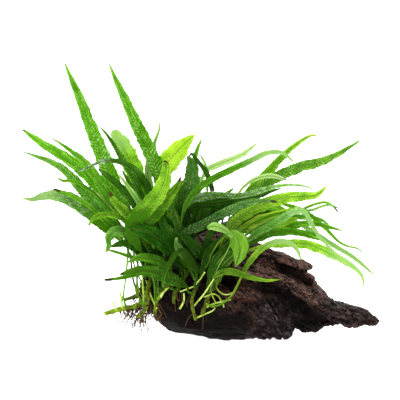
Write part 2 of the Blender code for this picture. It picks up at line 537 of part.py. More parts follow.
def width_directions(spine, share, widest, turn, twist):
    """For each ring, the unit directions across the blade and out of its upper face. They follow the bends,
    and twist evenly from base to tip. At its widest the blade is turned from the front by the given angle."""
    tangent = unit(np.gradient(spine, axis=0))
    side = np.empty_like(tangent)
    side[0] = unit(np.cross(tangent[0], FORWARD + 0.01 * RIGHTWARD))
    for i in range(1, len(spine)):
        side[i] = unit(side[i - 1] - tangent[i] * (side[i - 1] @ tangent[i]))
    flat = unit(np.cross(tangent[widest], FORWARD))
    over = np.cross(tangent, side)
    offset = math.atan2(flat @ over[widest], flat @ side[widest])
    roll = offset + math.radians(turn) + math.radians(twist) * (share - share[widest])
    side = side * np.cos(roll)[:, None] + over * np.sin(roll)[:, None]
    return side, np.cross(tangent, side)


def frond_solid(spine, half_width, stalk, form, turn, twist, margin=0.0):
    """Vertices and faces of a frond, a thin lens-shaped blade on a stalk: each ring has two edges, a point on
    the upper face and one on the midrib below. The margin is added all round."""
    share = np.linspace(0, 1, len(spine))
    wide = blade_outline(share, stalk, form)
    side, over = width_directions(spine, share, int(np.argmax(wide)), turn, twist)
    flat = np.minimum(wide * 2, 1)
    slim = 1 - TAPER_OF_TIP * np.clip((share - TIP_STARTS) / (1 - TIP_STARTS), 0, 1)
    reach = (STALK_HALF_WIDTH + (half_width - STALK_HALF_WIDTH) * wide) * slim + margin
    above = (STALK_ABOVE + (BLADE_ABOVE - STALK_ABOVE) * flat) * slim + margin
    below = (STALK_BELOW + (BLADE_BELOW - STALK_BELOW) * flat) * slim + margin
    rings = np.stack(
        [
            spine - side * reach[:, None],
            spine + over * above[:, None],
            spine + side * reach[:, None],
            spine - over * below[:, None],
        ],
        axis=1,
    )
    return loft(rings[:-1], spine[0], spine[-1])


def deep_route(route, depths, bow, lean):
    """The route's points: the depth follows a parabola through its three values, which a bow in the middle
    and a lean at the tip, in mm, may change."""
    share = np.linspace(0, 1, len(route))
    start, middle, tip = depths[0], depths[1] + bow + lean / 4, depths[2] + lean
    depth = start + (4 * middle - 3 * start - tip) * share + 2 * (start - 2 * middle + tip) * share**2
    return [place(across, down, d) for (across, down), d in zip(route, depth)]


def stalk_base(stem, share, swing, towards, radius, tree):
    """Where a stalk leaves its rhizome, on the side away from the wood, and the direction in which it leaves,
    swung round the rhizome by an angle in degrees."""
    at = share * (len(stem) - 1)
    i = min(int(at), len(stem) - 2)
    centre = stem[i] + (stem[i + 1] - stem[i]) * (at - i)
    along = unit(stem[i + 1] - stem[i])
    spot = tree.find_nearest(Vector(centre))[0]
    lead = unit(centre - np.array(spot)) + PULL_OF_ROUTE * unit(towards - centre)
    lead = unit(lead - along * (lead @ along))
    angle = math.radians(swing)
    lead = lead * math.cos(angle) + np.cross(along, lead) * math.sin(angle)
    return centre + lead * (radius + GAP), lead


def frond_spine(frond, stem, radius, tree, slide, swing, bow, lean):
    share, depths, route = frond[1], frond[-2], frond[-1]
    places = deep_route(route, depths, bow, lean)
    base, lead = stalk_base(stem, min(max(share + slide, 0.02), 0.98), swing, places[0], radius, tree)
    return smooth_route([base, base + lead * STALK_STANDS, *places], FROND_RINGS)


# What a frond may change to stay clear of its neighbours: the start along the rhizome, the swing round it in
# degrees, the bow and lean in mm and the turn of its blade in degrees
SLIDES = (0.0, 0.03, -0.03, 0.06, -0.06, 0.1, -0.1)
SWINGS = (0, 20, -20, 40, -40)
BOWS = (0, 3, -3, 6, -6, 10, -10)
LEANS = (0, 5, -5, 11, -11)
TURNS = (0, 20, -20)
CHANGE_WEIGHTS = (60, 0.04, 1, 0.6, 0.1)  # what one unit of each of these counts for


def amount(change):
    """How much a change alters a frond, with the change itself to settle ties."""
    return sum(weight * abs(value) for weight, value in zip(CHANGE_WEIGHTS, change)), change


def adjustments():
    """Every change that a frond may make, the least first."""
    return sorted(itertools.product(SLIDES, SWINGS, BOWS, LEANS, TURNS), key=amount)


def outside(points, tree):
    """True if no point lies inside the wood."""
    for point in points:
        spot, normal, _, _ = tree.find_nearest(Vector(point))
        if (Vector(point) - spot).dot(normal) < 0:
            return False
    return True


def grow_frond(frond, stem, radius, wood_tree, placed):
    """Vertices and faces of a frond that touches neither the wood nor any piece of placed, or None."""
    half_width, stalk, form, turn, twist = frond[2:7]
    neighbours = joined_tree(placed)
    for slide, swing, bow, lean, more in adjustments():
        spine = frond_spine(frond, stem, radius, wood_tree, slide, swing, bow, lean)
        shape = (half_width * MM, stalk, form, turn + more, twist)
        solid = frond_solid(spine, *shape)
        if tree_of(*solid).overlap(neighbours) or not outside(spine, wood_tree):
            continue
        if not tree_of(*frond_solid(spine[1:], *shape, CLEARANCE)).overlap(neighbours):
            return solid
    return None


def joined_tree(pieces):
    """One search tree over all the pieces."""
    starts = np.cumsum([0, *(len(v) for v, _ in pieces)])
    vertices = np.vstack([v for v, _ in pieces])
    faces = [tuple(int(i + start) for i in face) for start, (_, fs) in zip(starts, pieces) for face in fs]
    return tree_of(vertices, faces)


def evaluated_mesh(made):
    """Vertices and faces of an object as its modifiers or bevel show it."""
    shown = made.evaluated_get(bpy.context.evaluated_depsgraph_get())
    mesh = shown.to_mesh()
    vertices = np.array([v.co for v in mesh.vertices])
    faces = [tuple(p.vertices) for p in mesh.polygons]
    shown.to_mesh_clear()
    return vertices, faces


def main():
    for old in list(bpy.data.objects):
        bpy.data.objects.remove(old)
    collection = bpy.data.collections.new("java_fern_on_driftwood")
    bpy.context.scene.collection.children.link(collection)
    bark = make_material("driftwood", (0.03, 0.02, 0.015), 0.55)
    stem_green = make_material("rhizome", (0.16, 0.26, 0.03), 0.5)
    root_brown = make_material("root", (0.10, 0.05, 0.02), 0.7)
    leaf_greens = [make_material(f"frond_{i}", c, 0.4) for i, c in enumerate(LEAF_COLOURS)]

    wood = make_wood(bark, collection)
    wood_tree = surface_tree(wood)
    placed = [evaluated_mesh(wood)]
    stems = {}
    for name, (radius_mm, route) in RHIZOMES.items():
        points = rhizome_route(radius_mm * MM, route, wood_tree)
        stems[name] = (radius_mm * MM, points)
        placed.append(make_tube(name, radius_mm * MM, points, (0.82, 1.0), stem_green, collection))
    for name, (radius_mm, route) in ROOTS.items():
        points = smooth_route([place(*p) for p in route], 2 * len(route))
        placed.append(make_tube(name, radius_mm * MM, points, (1.0, 0.4), root_brown, collection))
    for number, (name, frond) in enumerate(FRONDS.items()):
        radius, stem = stems[frond[0]]
        solid = grow_frond(frond, stem, radius, wood_tree, placed)
        if solid is None:
            raise ValueError(f"{name} finds no room to grow")
        add_solid(name, *solid, leaf_greens[number % len(leaf_greens)], collection)
        placed.append(solid)


main()
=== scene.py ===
"""Java fern on driftwood: its visible surfaces, the floor it stands on, the light and the camera.

Each surface is worked out with numpy as a grid of points. The driftwood, stems and main fronds stand for
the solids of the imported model, and the thinner fronds, stalks and hair roots grow from them.
"""

import functools
import itertools
import json
import math
from typing import NamedTuple

import bpy
import numpy as np
from bpy.props import FloatProperty, FloatVectorProperty, PointerProperty
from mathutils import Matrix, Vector


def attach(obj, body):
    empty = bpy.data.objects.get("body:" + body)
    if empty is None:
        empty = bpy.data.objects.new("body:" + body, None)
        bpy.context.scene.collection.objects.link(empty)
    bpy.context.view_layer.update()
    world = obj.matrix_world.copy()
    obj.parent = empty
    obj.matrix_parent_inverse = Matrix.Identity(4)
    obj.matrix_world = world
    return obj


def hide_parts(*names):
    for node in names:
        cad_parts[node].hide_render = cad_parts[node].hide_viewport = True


bl_info = {
    "name": "Java Fern on Driftwood",
    "version": (1, 0, 0),
    "blender": (4, 5, 0),
    "location": "View3D > Sidebar > Java Fern",
    "description": "Builds a java fern with its creeping stems and hair roots on a lump of wet driftwood",
    "category": "Add Mesh",
}

MM = 0.001

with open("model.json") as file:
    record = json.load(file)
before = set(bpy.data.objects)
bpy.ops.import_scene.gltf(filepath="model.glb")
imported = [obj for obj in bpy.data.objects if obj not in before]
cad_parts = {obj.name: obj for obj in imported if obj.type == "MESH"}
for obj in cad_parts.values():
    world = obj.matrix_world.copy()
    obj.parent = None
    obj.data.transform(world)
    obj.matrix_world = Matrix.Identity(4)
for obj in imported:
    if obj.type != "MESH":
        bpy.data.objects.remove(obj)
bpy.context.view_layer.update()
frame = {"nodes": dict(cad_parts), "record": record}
SLOT_OF = {part["node"]: part["material_slot"] for part in frame["record"]["subparts"]}

# ---- the front sketch ----
# A place on it is (across, down), in squares from its top left corner, and a real depth behind the middle.
SQUARE = 0.85 * MM
SKETCH_MIDDLE = 200.0
VIEW_CENTRE = np.array([-21.4, 0.0, 116.4]) * MM
VIEW_DISTANCE = 1.4
VIEW_TILT = math.radians(6.0)
FORWARD = np.array([0.0, math.cos(VIEW_TILT), -math.sin(VIEW_TILT)])
UPWARD = np.array([0.0, math.sin(VIEW_TILT), math.cos(VIEW_TILT)])
RIGHTWARD = np.array([1.0, 0.0, 0.0])
EYE = VIEW_CENTRE - VIEW_DISTANCE * FORWARD
SENSOR = 36.0

# ---- the wood's outline ----
# (top across, top down, bottom across, bottom down, half depth in mm, depth of the middle in mm)
# The underside is worn flat at the height of the origin, which cuts the lower part of the middle rows off.
WOOD_OUTLINE = [
    (145, 287, 145, 301, 9, -4),
    (149, 279, 150, 312, 19, -3),
    (155, 271, 157, 323, 26, -2),
    (163, 264, 166, 331.5, 31, -1),
    (173, 256, 178, 336.5, 35, 0),
    (185, 247, 192, 338.5, 38, 0),
    (196, 238.5, 208, 342, 40, 1),
    (206, 233, 222, 346, 41, 2),
    (216, 231.5, 235, 347, 42, 2),
    (228, 233.5, 248, 345, 42, 2),
    (242, 238, 260, 345, 42, 2),
    (257, 243, 271, 345, 41, 2),
    (271, 248.5, 280, 345, 40, 2),
    (286, 254, 287, 343, 38, 2),
    (298, 260, 291, 339.5, 36, 2),
    (306, 263.5, 295, 334, 34, 2),
    (314, 266.5, 300, 333, 32, 2),
    (314, 270.5, 305, 335.5, 31, 2),
    (313, 275, 311, 335, 30, 2),
    (315, 280, 317, 334.5, 28, 2),
    (318, 285.5, 322, 332.5, 26, 2),
    (323, 290.5, 327, 330, 24, 2),
    (329, 296, 332, 328, 22, 2),
    (335.5, 300.5, 336, 328, 20, 1),
    (343, 302, 341, 328.4, 18, 1),
    (352, 305, 350, 327.4, 16, 0),
    (360, 308, 358, 326.2, 13.5, 0),
    (366.5, 310.5, 365, 326.8, 11, 0),
    (370, 313, 370, 326.4, 9, 0),
    (373.5, 315.5, 374, 325.5, 7, 0),
    (377, 318, 377, 323.8, 4.5, 0),
]
WOOD_LEFT_END = (143.5, 294, -4)
WOOD_RIGHT_END = (380, 321, 0)

# The beak of the slab overhangs: round a height the wood is pulled back, the more the further right it lies.
# (across where the pull starts, across where it is full, down in the middle, half height, pull), in squares
BEAK_UNDERCUT = (292, 311, 271.5, 3.5, 8)

# (line of sketch points, half width in squares, height in mm: above 0 is a ridge or lump, below 0 a hollow,
# which is also darkened as painted shade)
WOOD_FRONT = [
    ([(236, 248), (258, 252), (276, 257), (292, 262), (306, 266)], 5.5, 5),  # lip of the upper slab
    ([(268, 264), (281, 269), (293, 274), (303, 280), (310, 285)], 6.5, -13),  # hollow under the slab
    ([(236, 262), (262, 270), (285, 279), (301, 288), (318, 299), (335, 309), (374, 320)], 6, 5.5),  # rib
    ([(266, 287), (280, 293), (294, 302), (306, 312), (318, 320), (330, 323)], 8, -11),  # hollow under it
    ([(296, 325), (303, 327)], 7, -9),  # notch beneath, between the two feet
    ([(229, 292), (246, 291), (261, 291)], 9, 7),  # reddish burl
    ([(221, 281), (234, 280)], 5, -8),  # hole beside the burl
    ([(258, 308), (272, 320), (284, 331)], 8, 6),  # right hand foot
    ([(190, 328), (215, 331), (245, 329)], 8, 3),  # belly
    ([(351, 309), (354, 315)], 2.2, -3),  # crack across the snout
]
WOOD_BACK = [
    ([(210, 250), (240, 262), (275, 276), (305, 296), (340, 312)], 7, 4.5),
    ([(200, 278), (235, 287), (270, 300), (300, 314)], 9, -9.5),
    ([(225, 247), (262, 259), (298, 275)], 5, -5),
    ([(180, 300), (215, 309), (252, 320)], 9, 5),
    ([(285, 318), (300, 326)], 7, -7),
    ([(172, 282), (178, 292)], 8, -4),
]

# ---- the wood's finer relief ----
# (line of sketch points, half width in squares, height in mm, 0 black to 1 reddish); hollows get painted
# shade
WOOD_MARKS = [
    ([(256, 246), (272, 252), (286, 258), (300, 264)], 6, 0.8, 0.4),
    ([(268, 251), (282, 257), (294, 263)], 1.2, -0.5, 0.4),
    ([(280, 264.5), (290, 268), (300, 271), (308, 271)], 1.8, -2, 0),
    ([(283, 269), (292, 273), (302, 279), (309, 284)], 3, -2.4, 0),
    ([(280, 269), (290, 273), (299, 279), (306, 284)], 3.2, -2, 0),
    ([(228, 246), (244, 253), (262, 262), (284, 272), (300, 281), (316, 292)], 2.6, 1.5, 0.45),
    ([(236, 262), (252, 268), (270, 276), (286, 285)], 2, -1.4, 0),
    ([(316, 290), (330, 302), (346, 311), (362, 317), (376, 320)], 2.4, 1.2, 0.5),
    ([(330, 310), (346, 317), (362, 322)], 2.4, -1.2, 0),
    ([(226, 291), (236, 287), (248, 285), (262, 286), (273, 290)], 3.2, 1.6, 1),
    ([(232, 297), (246, 300), (260, 299)], 3.4, 1.2, 0.9),
    ([(238, 289), (252, 290), (262, 292)], 1.3, -1, 0.5),
    ([(266, 289), (270, 292)], 2.2, -2.6, 0),
    ([(244, 303), (256, 304), (264, 298)], 1.4, -1.6, 0.2),
    ([(221, 279), (228, 283), (232, 289)], 3.2, -3.4, 0),
    ([(265, 284), (282, 290), (296, 300), (308, 311)], 3.4, -2.2, 0),
    ([(252, 302), (262, 312), (272, 324)], 2.2, 1.3, 0.3),
    ([(262, 300), (273, 311), (284, 326)], 2.2, 1.6, 0.3),
    ([(272, 302), (282, 312), (290, 323)], 2, 1.4, 0.2),
    ([(257, 306), (267, 318), (276, 330)], 1.4, -1.4, 0),
    ([(268, 302), (279, 315), (287, 328)], 1.4, -1.5, 0),
    ([(283, 300), (292, 311)], 1.8, -2, 0),
    ([(294, 316), (297, 324)], 3, -3, 0),
    ([(300, 316), (308, 324), (318, 327)], 3, 1.4, 0.2),
    ([(351, 307), (353, 316)], 1.3, -2, 0),
    ([(364, 315.5), (367, 316.5)], 1.8, -2.2, 0),
    ([(340, 321), (355, 323.5), (370, 322)], 1.6, -1, 0),
    ([(205, 300), (222, 310), (240, 313)], 5, 0.8, 0.1),
    ([(160, 318), (182, 327), (210, 331)], 3.5, 0.8, 0),
]

# ---- the leaves ----
# Forms of a blade: (how far up it is widest, how pointed it is)
LANCE = (0.34, 0.85)
BROAD = (0.42, 0.6)
TAILED = (0.26, 1.3)
EVEN = (0.36, 0.5)


class Look(NamedTuple):
    """How one leaf looks."""

    # well above 1, the leaf takes its tint's colour of painted sunlight
    tone: float  # from 0 dark to 1 light
    brown: float = 0.0  # share of the tip that is brown
    puckers: float = 0.3  # their height in mm
    bleached: float = 1.0  # share of the length from which the blade is bleached
    rise: float = 0.5  # how much lighter it grows towards its tip
    # the change along the leaf is partly its own colour and partly painted light and shade
    painted_sheen: float = 0.0  # how much of its upper face shines silvery
    # painted sheen: a silvery highlight painted on the upper face
    painted_sheen_from: float = 0.0  # share of the length from which it does


class ThinFrond(NamedTuple):
    """A thinner frond of the crown, from its foot on a creeping stem along a route of the sketch."""

    stem: str
    share: float  # how far along the stem it grows
    half_width: float  # in mm
    depths: tuple  # in mm behind the origin at the start, in the middle and at the tip
    look: Look
    route: list
    tint: str = "dark"
    turn: float = 30  # degrees from the sketch
    twist: float = 10  # degrees along the whole frond
    stalk: float = 0.3  # share that is stalk
    form: tuple = LANCE


FROND_LOOKS = {
    "tall_left": Look(0.58, puckers=1.2, rise=-0.5),
    "tall_right": Look(0.44, puckers=1.2, rise=0.7),
    "long_left_upper": Look(0.6, brown=0.02, puckers=0.7),
    "left_middle": Look(0.32, brown=0.04, puckers=0.5, bleached=0.95, painted_sheen=0.2, painted_sheen_from=0.5),
    "left_thin_tip": Look(0.5, brown=0.02, puckers=0.4),
    "left_low_broad": Look(-0.3, puckers=0.45, bleached=0.78, rise=0.6, painted_sheen=0.35, painted_sheen_from=0.6),
    "left_hooked": Look(-0.14, puckers=0.2, rise=0.6),
    "arch_over": Look(0.45, rise=0.6, painted_sheen=0.8, painted_sheen_from=0.83),
    "crumpled_yellow": Look(-0.1, brown=0.06, puckers=0.5, rise=1.6),
    "bright_centre": Look(-0.2, brown=0.015, puckers=0.12, rise=2.7),
    "second_centre": Look(-0.2, brown=0.05, puckers=0.15, rise=1.4),
    "backlit_left": Look(0.35, puckers=0.2, bleached=0.8, rise=1.6),
    "backlit_right": Look(0.84, puckers=0.2, rise=1),
    "long_right_arch": Look(0.06, puckers=0.2, bleached=0.76, rise=0.4),
    "glossy_level": Look(1, puckers=1.1, rise=0.2, painted_sheen=1),
    "grey_diagonal": Look(0.7, brown=0.03, puckers=0.6, painted_sheen=0.14, painted_sheen_from=0.2),
    "dark_level": Look(0.15, puckers=0.2),
    "far_right_long": Look(0.05, puckers=0.8, rise=0.3, painted_sheen=0.08),
    "bright_right_tip": Look(0.36, puckers=0.25),
    "yellow_broad": Look(0.84, puckers=0.15, rise=0.2),
    "low_yellow": Look(0.34, puckers=0.15, bleached=0.72, rise=0),
    "front_right_low": Look(0.12, puckers=0.1, rise=-0.2),
    "front_right_arch": Look(0.3, puckers=0.1, bleached=0.7, rise=0.6),
    "low_broad": Look(-0.1, brown=0.05, puckers=0.6, rise=0.3),
    "dark_low_big": Look(0.18, puckers=0.2),
    "dark_upright": Look(0.8, puckers=0.5, painted_sheen=0.08),
    "dark_right_low": Look(0.2, rise=1.2),
    "narrow_dark": Look(0.9),
    "slip_between": Look(2, rise=0.6),
    "light_far_right": Look(0.4, puckers=0.25, rise=0.6),
    "light_right": Look(1.95, puckers=0.6),
    "pale_arc": Look(1.6, puckers=0.1),
    "bent_front": Look(1, puckers=0.15, rise=0.3),
    "knee": Look(0.4, puckers=0.4, bleached=0.66, rise=1, painted_sheen=0.35, painted_sheen_from=0.6),
    "pale_curl": Look(0.3, puckers=0.2),
    "thin_tail": Look(0.5, puckers=0.1, bleached=0.5),
    "pale_short": Look(0.35, puckers=0.4, rise=1),
    "spade_tip": Look(-0.4, puckers=0.4, rise=4.5),
    "behind_right": Look(0.4, painted_sheen=0.25),
}
ORDINARY_LOOK = Look(0.4)
# tint: (roughness, share of the light that shines through, colour of the lightest parts, which is painted
# sunlight, how strongly the streaks show)
LEAF_TINTS = {
    "green": (0.42, 1.0, (0.50, 0.74, 0.20), 2.2),
    "bright": (0.45, 1.0, (0.90, 1.00, 0.12), 1.2),
    "dark": (0.36, 0.5, (0.50, 0.74, 0.20), 2.2),
    "pale": (0.50, 1.0, (0.84, 0.94, 0.58), 1.2),
}
# Painted shade among the crowded bases of the fronds: deepest here, and less by a bell of this reach.
CROWN_MIDDLE = np.array([-24.0, -8.0, 74.0]) * MM
CROWN_REACH = np.array([48.0, 90.0, 40.0]) * MM
DEEPEST_PAINTED_SHADE = 0.8
PALE_PAINTED_SHADE = (0.35, 0.9)  # its share on pale leaves: on those with a tone above 0, and on the others

THIN_FRONDS = {
    "left_narrow": ThinFrond("upper_left", 0.6, 2.2, (-8, -34, -46), Look(0.5, brown=0.05, puckers=0.2),
        [(138, 275), (128, 250), (114, 230), (103, 219), (92, 208), (80, 200), (68, 194), (52, 188.5)],
        tint="green", twist=20, stalk=0.4, form=EVEN),
    "left_small": ThinFrond("upper_left", 0.75, 1.8, (-6, -14, -26), Look(0.5, puckers=0.1),
        [(140, 270), (128, 240), (112, 212), (95, 194), (80, 184), (70, 180.5), (61, 180.5), (57, 177)],
        tint="green", turn=20, twist=20, stalk=0.5, form=EVEN),
    "between_left": ThinFrond("low_left", 0.5, 3.2, (-36, -41, -40), Look(0.5, puckers=0.2),
        [(157, 270), (153, 245), (148, 222), (141, 206), (134, 195), (126, 184), (118, 174)], tint="pale",
        turn=25, twist=20, stalk=0.4),
    "dark_second": ThinFrond("middle", 0.75, 3.2, (-30, -30, -26), Look(0.2),
        [(170, 262), (158, 240), (146, 219), (133, 202), (119, 188), (107, 177), (98, 169)], turn=40,
        twist=20, stalk=0.34),
    "curl_blade": ThinFrond("upper_left", 0.85, 4.8, (-12, -36, -48), Look(0.4, puckers=0.6),
        [(144, 280), (146, 264), (143, 253), (136, 247), (127, 243.5), (118, 244), (111, 247)], turn=15,
        form=BROAD),
    "thin_low": ThinFrond("low_left", 0.4, 2.4, (-38, -46, -50), Look(0.4, puckers=0.6),
        [(155, 272), (150, 262), (142, 259), (134, 258), (125, 255), (116, 252), (108, 250)], tint="green",
        turn=40, twist=20, form=EVEN),
    "lowest_thin": ThinFrond("low_left", 0.3, 2.2, (-40, -50, -60), Look(0.25, brown=0.1, puckers=0.6),
        [(153, 277), (145, 273), (137, 274.5), (128, 276.5), (121, 278), (110, 279.5), (103.5, 280)],
        tint="green", twist=20, form=EVEN),
    "hanging": ThinFrond("front", 0.7, 2.3, (-52, -60, -56), Look(-0.2, puckers=0.4),
        [(190, 254), (181, 250), (174, 256), (169, 264), (165, 272), (163, 280), (163, 288)], tint="green",
        twist=20, form=EVEN),
    "small_front": ThinFrond("middle", 0.7, 4.2, (-44, -54, -56), Look(-0.35, puckers=0.2),
        [(184, 268), (181, 262), (184, 263), (188, 267), (192, 274), (195, 281)], tint="bright", turn=20,
        twist=0, stalk=0.2),
    "short_upright": ThinFrond("top", 0.6, 3, (4, 6, 4), Look(0.5, puckers=0.2),
        [(198, 220), (194, 195), (192, 176), (194, 163), (196, 153), (199, 145), (202, 139)], tint="green",
        turn=20, stalk=0.4),
    "pale_thread": ThinFrond("top", 0.62, 1.5, (6, 10, 12), Look(0.8, puckers=0),
        [(205, 220), (207, 196), (207, 178), (206, 166), (203, 160), (200, 154)], tint="pale", twist=20,
        stalk=0.5, form=EVEN),
    "light_short": ThinFrond("top", 0.55, 2.8, (2, 8, 12), Look(0.6, puckers=0.1),
        [(196, 222), (196, 208), (196, 196), (197, 186), (200, 176)], tint="pale", turn=20, stalk=0.4),
    "dark_textured": ThinFrond("top", 0.9, 6, (0, 2, 4), Look(0.5, puckers=0.5),
        [(230, 226), (240, 219), (252, 216.5), (265, 215), (277, 215), (292, 214)], turn=25),
    "right_ribbon": ThinFrond("top", 0.75, 2.4, (6, 20, 24), Look(0.6, puckers=0.1),
        [(226, 224), (252, 209), (280, 204), (305, 212), (322, 225), (330, 233), (338, 241), (347, 246),
        (356, 248), (365, 254)], tint="green", turn=25, twist=20, stalk=0.4, form=TAILED),
    "strand_upper": ThinFrond("right", 0.88, 1.7, (-34, -24, -26), Look(0.6, brown=0.04, puckers=0),
        [(226, 250), (248, 226), (276, 214), (300, 210), (312, 205), (320, 203), (327, 202.5), (333, 206),
        (339, 214)], tint="green", twist=20, form=EVEN),
    "strand_lower": ThinFrond("right", 0.8, 1.7, (-38, -28, -32), Look(0.4, brown=0.02, puckers=0),
        [(224, 256), (250, 232), (278, 218), (300, 212), (316, 209), (327, 204.5), (338, 208)], tint="pale",
        twist=20, form=EVEN),
    "pale_blunt": ThinFrond("right", 0.35, 3.3, (-47, -57, -61), Look(0.5, puckers=0.2),
        [(212, 284), (218, 268), (228, 250), (232, 238), (227, 231.5), (219, 227.5), (212, 226.5),
        (207, 228.5)], tint="pale", turn=5, stalk=0.69, form=(0.66, 0.45)),
    "fan_low": ThinFrond("right", 0.25, 3.5, (-47, -51, -46), Look(0.75, puckers=0.2),
        [(209, 285), (213, 270), (220, 258), (228, 248), (238, 240)], turn=12, twist=0),
    "fan_middle": ThinFrond("front", 0.6, 3.7, (-46, -47, -40), Look(0.6, puckers=0.2),
        [(201, 276), (205, 264), (209, 252), (216, 243), (224, 236)], turn=15, twist=0),
    "fan_upper": ThinFrond("front", 0.8, 3.6, (-42, -42, -34), Look(0.4, puckers=0.2),
        [(203, 262), (206, 250), (209, 238), (212, 228), (216, 218)], turn=20, twist=0),
    "fan_wide": ThinFrond("right", 0.45, 3.4, (-46, -52, -50), Look(0.3, puckers=0.2),
        [(213, 280), (219, 266), (228, 256), (238, 250), (248, 246)], tint="green", turn=15, twist=0),
    "fan_thin": ThinFrond("right", 0.35, 2.6, (-46, -50, -46), Look(0.9, puckers=0.2),
        [(207, 286), (210, 272), (215, 259), (222, 249), (231, 240)], turn=15, twist=0),
    "fan_last": ThinFrond("right", 0.4, 2.4, (-47, -53, -53), Look(1, puckers=0.2),
        [(214, 284), (220, 272), (229, 261), (239, 254), (251, 250)], turn=15, twist=0),
    "fan_back": ThinFrond("front", 0.75, 4.2, (-40, -36, -30), Look(0.3, puckers=0.2),
        [(204, 272), (209, 258), (216, 247), (226, 238), (238, 232)], turn=25, twist=0),
    "crown_1": ThinFrond("middle", 0.5, 5.6, (-42, -44, -40), Look(0.4),
        [(182, 274), (178, 256), (171, 238), (163, 224), (156, 214)], turn=25, twist=0, stalk=0.26,
        form=BROAD),
    "crown_2": ThinFrond("front", 0.7, 5, (-40, -38, -30), Look(0.68),
        [(196, 268), (188, 248), (180, 230), (174, 214), (170, 200)], twist=0, stalk=0.26),
    "crown_3": ThinFrond("low_left", 0.55, 5, (-38, -36, -26), Look(0.3),
        [(164, 270), (156, 252), (150, 236), (147, 222), (147, 208)], turn=35, twist=0, stalk=0.26),
    "crown_4": ThinFrond("top", 0.45, 5.4, (-10, -16, -20), Look(0.65),
        [(184, 236), (180, 222), (178, 208), (180, 194), (184, 182)], turn=35),
    "crown_5": ThinFrond("top", 0.3, 5, (-6, -10, -8), Look(0.65),
        [(172, 240), (164, 224), (160, 210), (160, 196), (164, 186)], turn=40),
    "crown_6": ThinFrond("top", 0.62, 4.6, (-8, -20, -26), Look(0.95),
        [(200, 230), (202, 216), (208, 206), (218, 200), (232, 199)]),
    "crown_7": ThinFrond("middle", 0.8, 4.6, (-34, -26, -18), Look(0.5),
        [(184, 258), (178, 240), (168, 224), (156, 212), (144, 206)]),
    "crown_8": ThinFrond("right", 0.7, 4.4, (-38, -30, -24), Look(0.5),
        [(220, 262), (222, 246), (228, 232), (240, 222), (254, 217)]),
    "crown_9": ThinFrond("drooping", 0.85, 5.2, (-28, -38, -46), Look(0.45),
        [(156, 268), (150, 254), (143, 243), (134, 236), (124, 233)], stalk=0.26, form=BROAD),
    "crown_10": ThinFrond("top", 0.2, 5.4, (-4, -8, -12), Look(0.4),
        [(166, 246), (161, 236), (156, 226), (152, 216), (150, 206)], stalk=0.26),
    "crown_11": ThinFrond("top", 0.55, 5, (-6, -6, -4), Look(0.7),
        [(192, 238), (189, 228), (187, 218), (187, 208), (190, 198)], stalk=0.26),
    "crown_12": ThinFrond("front", 0.9, 5.2, (-42, -44, -44), Look(0.5),
        [(204, 262), (198, 252), (191, 243), (183, 236), (175, 231)], turn=25, stalk=0.26),
    "crown_13": ThinFrond("top", 0.75, 4.6, (-4, -6, -8), Look(0.6),
        [(214, 232), (214, 224), (214, 215), (217, 206), (222, 198)], stalk=0.26),
    "crown_14": ThinFrond("top", 0.1, 4.6, (-20, -14, -8), Look(0.85),
        [(165, 255), (155, 232), (143, 208), (132, 188), (122, 170)], stalk=0.26),
    "crown_15": ThinFrond("middle", 0.9, 3.8, (-34, -30, -24), Look(0.8),
        [(160, 258), (150, 236), (139, 214), (127, 195), (113, 178)]),
    "crown_16": ThinFrond("middle", 0.95, 3.4, (-30, -32, -38), Look(0.95),
        [(160, 260), (146, 240), (130, 222), (112, 206), (96, 192)], turn=40, twist=20),
    "crown_17": ThinFrond("upper_left", 0.9, 3, (-14, -26, -40), Look(0),
        [(146, 276), (138, 254), (126, 236), (112, 222), (96, 210)], tint="green", twist=20),
    "crown_18": ThinFrond("top", 0.8, 4.2, (-12, -16, -20), Look(0.4),
        [(212, 232), (210, 220), (213, 211), (222, 206), (234, 203.5), (248, 201)], turn=25, stalk=0.26),
    "crown_19": ThinFrond("top", 0.85, 4.8, (0, 4, 6), Look(0.42, puckers=0.2),
        [(222, 236), (238, 232), (254, 227.5), (270, 224.5), (284, 222), (298, 218.5)], tint="bright",
        turn=20, twist=5, stalk=0.34, form=BROAD),
    "crown_20": ThinFrond("top", 0.9, 3.4, (2, 6, 8), Look(0.45, puckers=0.2),
        [(226, 240), (244, 238), (262, 235), (280, 232.5), (296, 231.5), (312, 234), (322, 238)],
        tint="green", turn=20, twist=5, stalk=0.34),
    "crown_21": ThinFrond("top", 0.5, 3.6, (-8, -10, -12), Look(0.85, puckers=0.2),
        [(190, 236), (194, 222), (199, 210), (206, 203), (216, 200), (228, 198.5)], turn=20, twist=5),
    "behind_1": ThinFrond("back", 0.35, 5.4, (48, 62, 62), Look(0.5),
        [(184, 258), (176, 236), (168, 218), (160, 204), (150, 196)], stalk=0.28),
    "behind_2": ThinFrond("back", 0.55, 5.2, (48, 52, 56), Look(0.3),
        [(200, 250), (204, 230), (212, 212), (222, 198), (234, 188)], tint="green", turn=25, stalk=0.28),
    "behind_3": ThinFrond("back", 0.2, 4.8, (46, 68, 84), Look(0.5),
        [(172, 266), (166, 254), (160, 247), (152, 247), (146, 252)], tint="green", stalk=0.28),
    "behind_4": ThinFrond("back", 0.68, 5, (50, 72, 84), Look(0.6),
        [(211, 250), (216, 236), (226, 226), (240, 224), (252, 228)], stalk=0.28),
    "behind_5": ThinFrond("top", 0.35, 4.8, (14, 30, 38), Look(0.4),
        [(176, 240), (172, 222), (172, 206), (176, 192), (183, 180)], tint="green", turn=25),
    "behind_6": ThinFrond("top", 0.15, 4.6, (10, 26, 36), Look(0.5),
        [(162, 248), (152, 234), (142, 222), (132, 212), (122, 205)], turn=25),
}

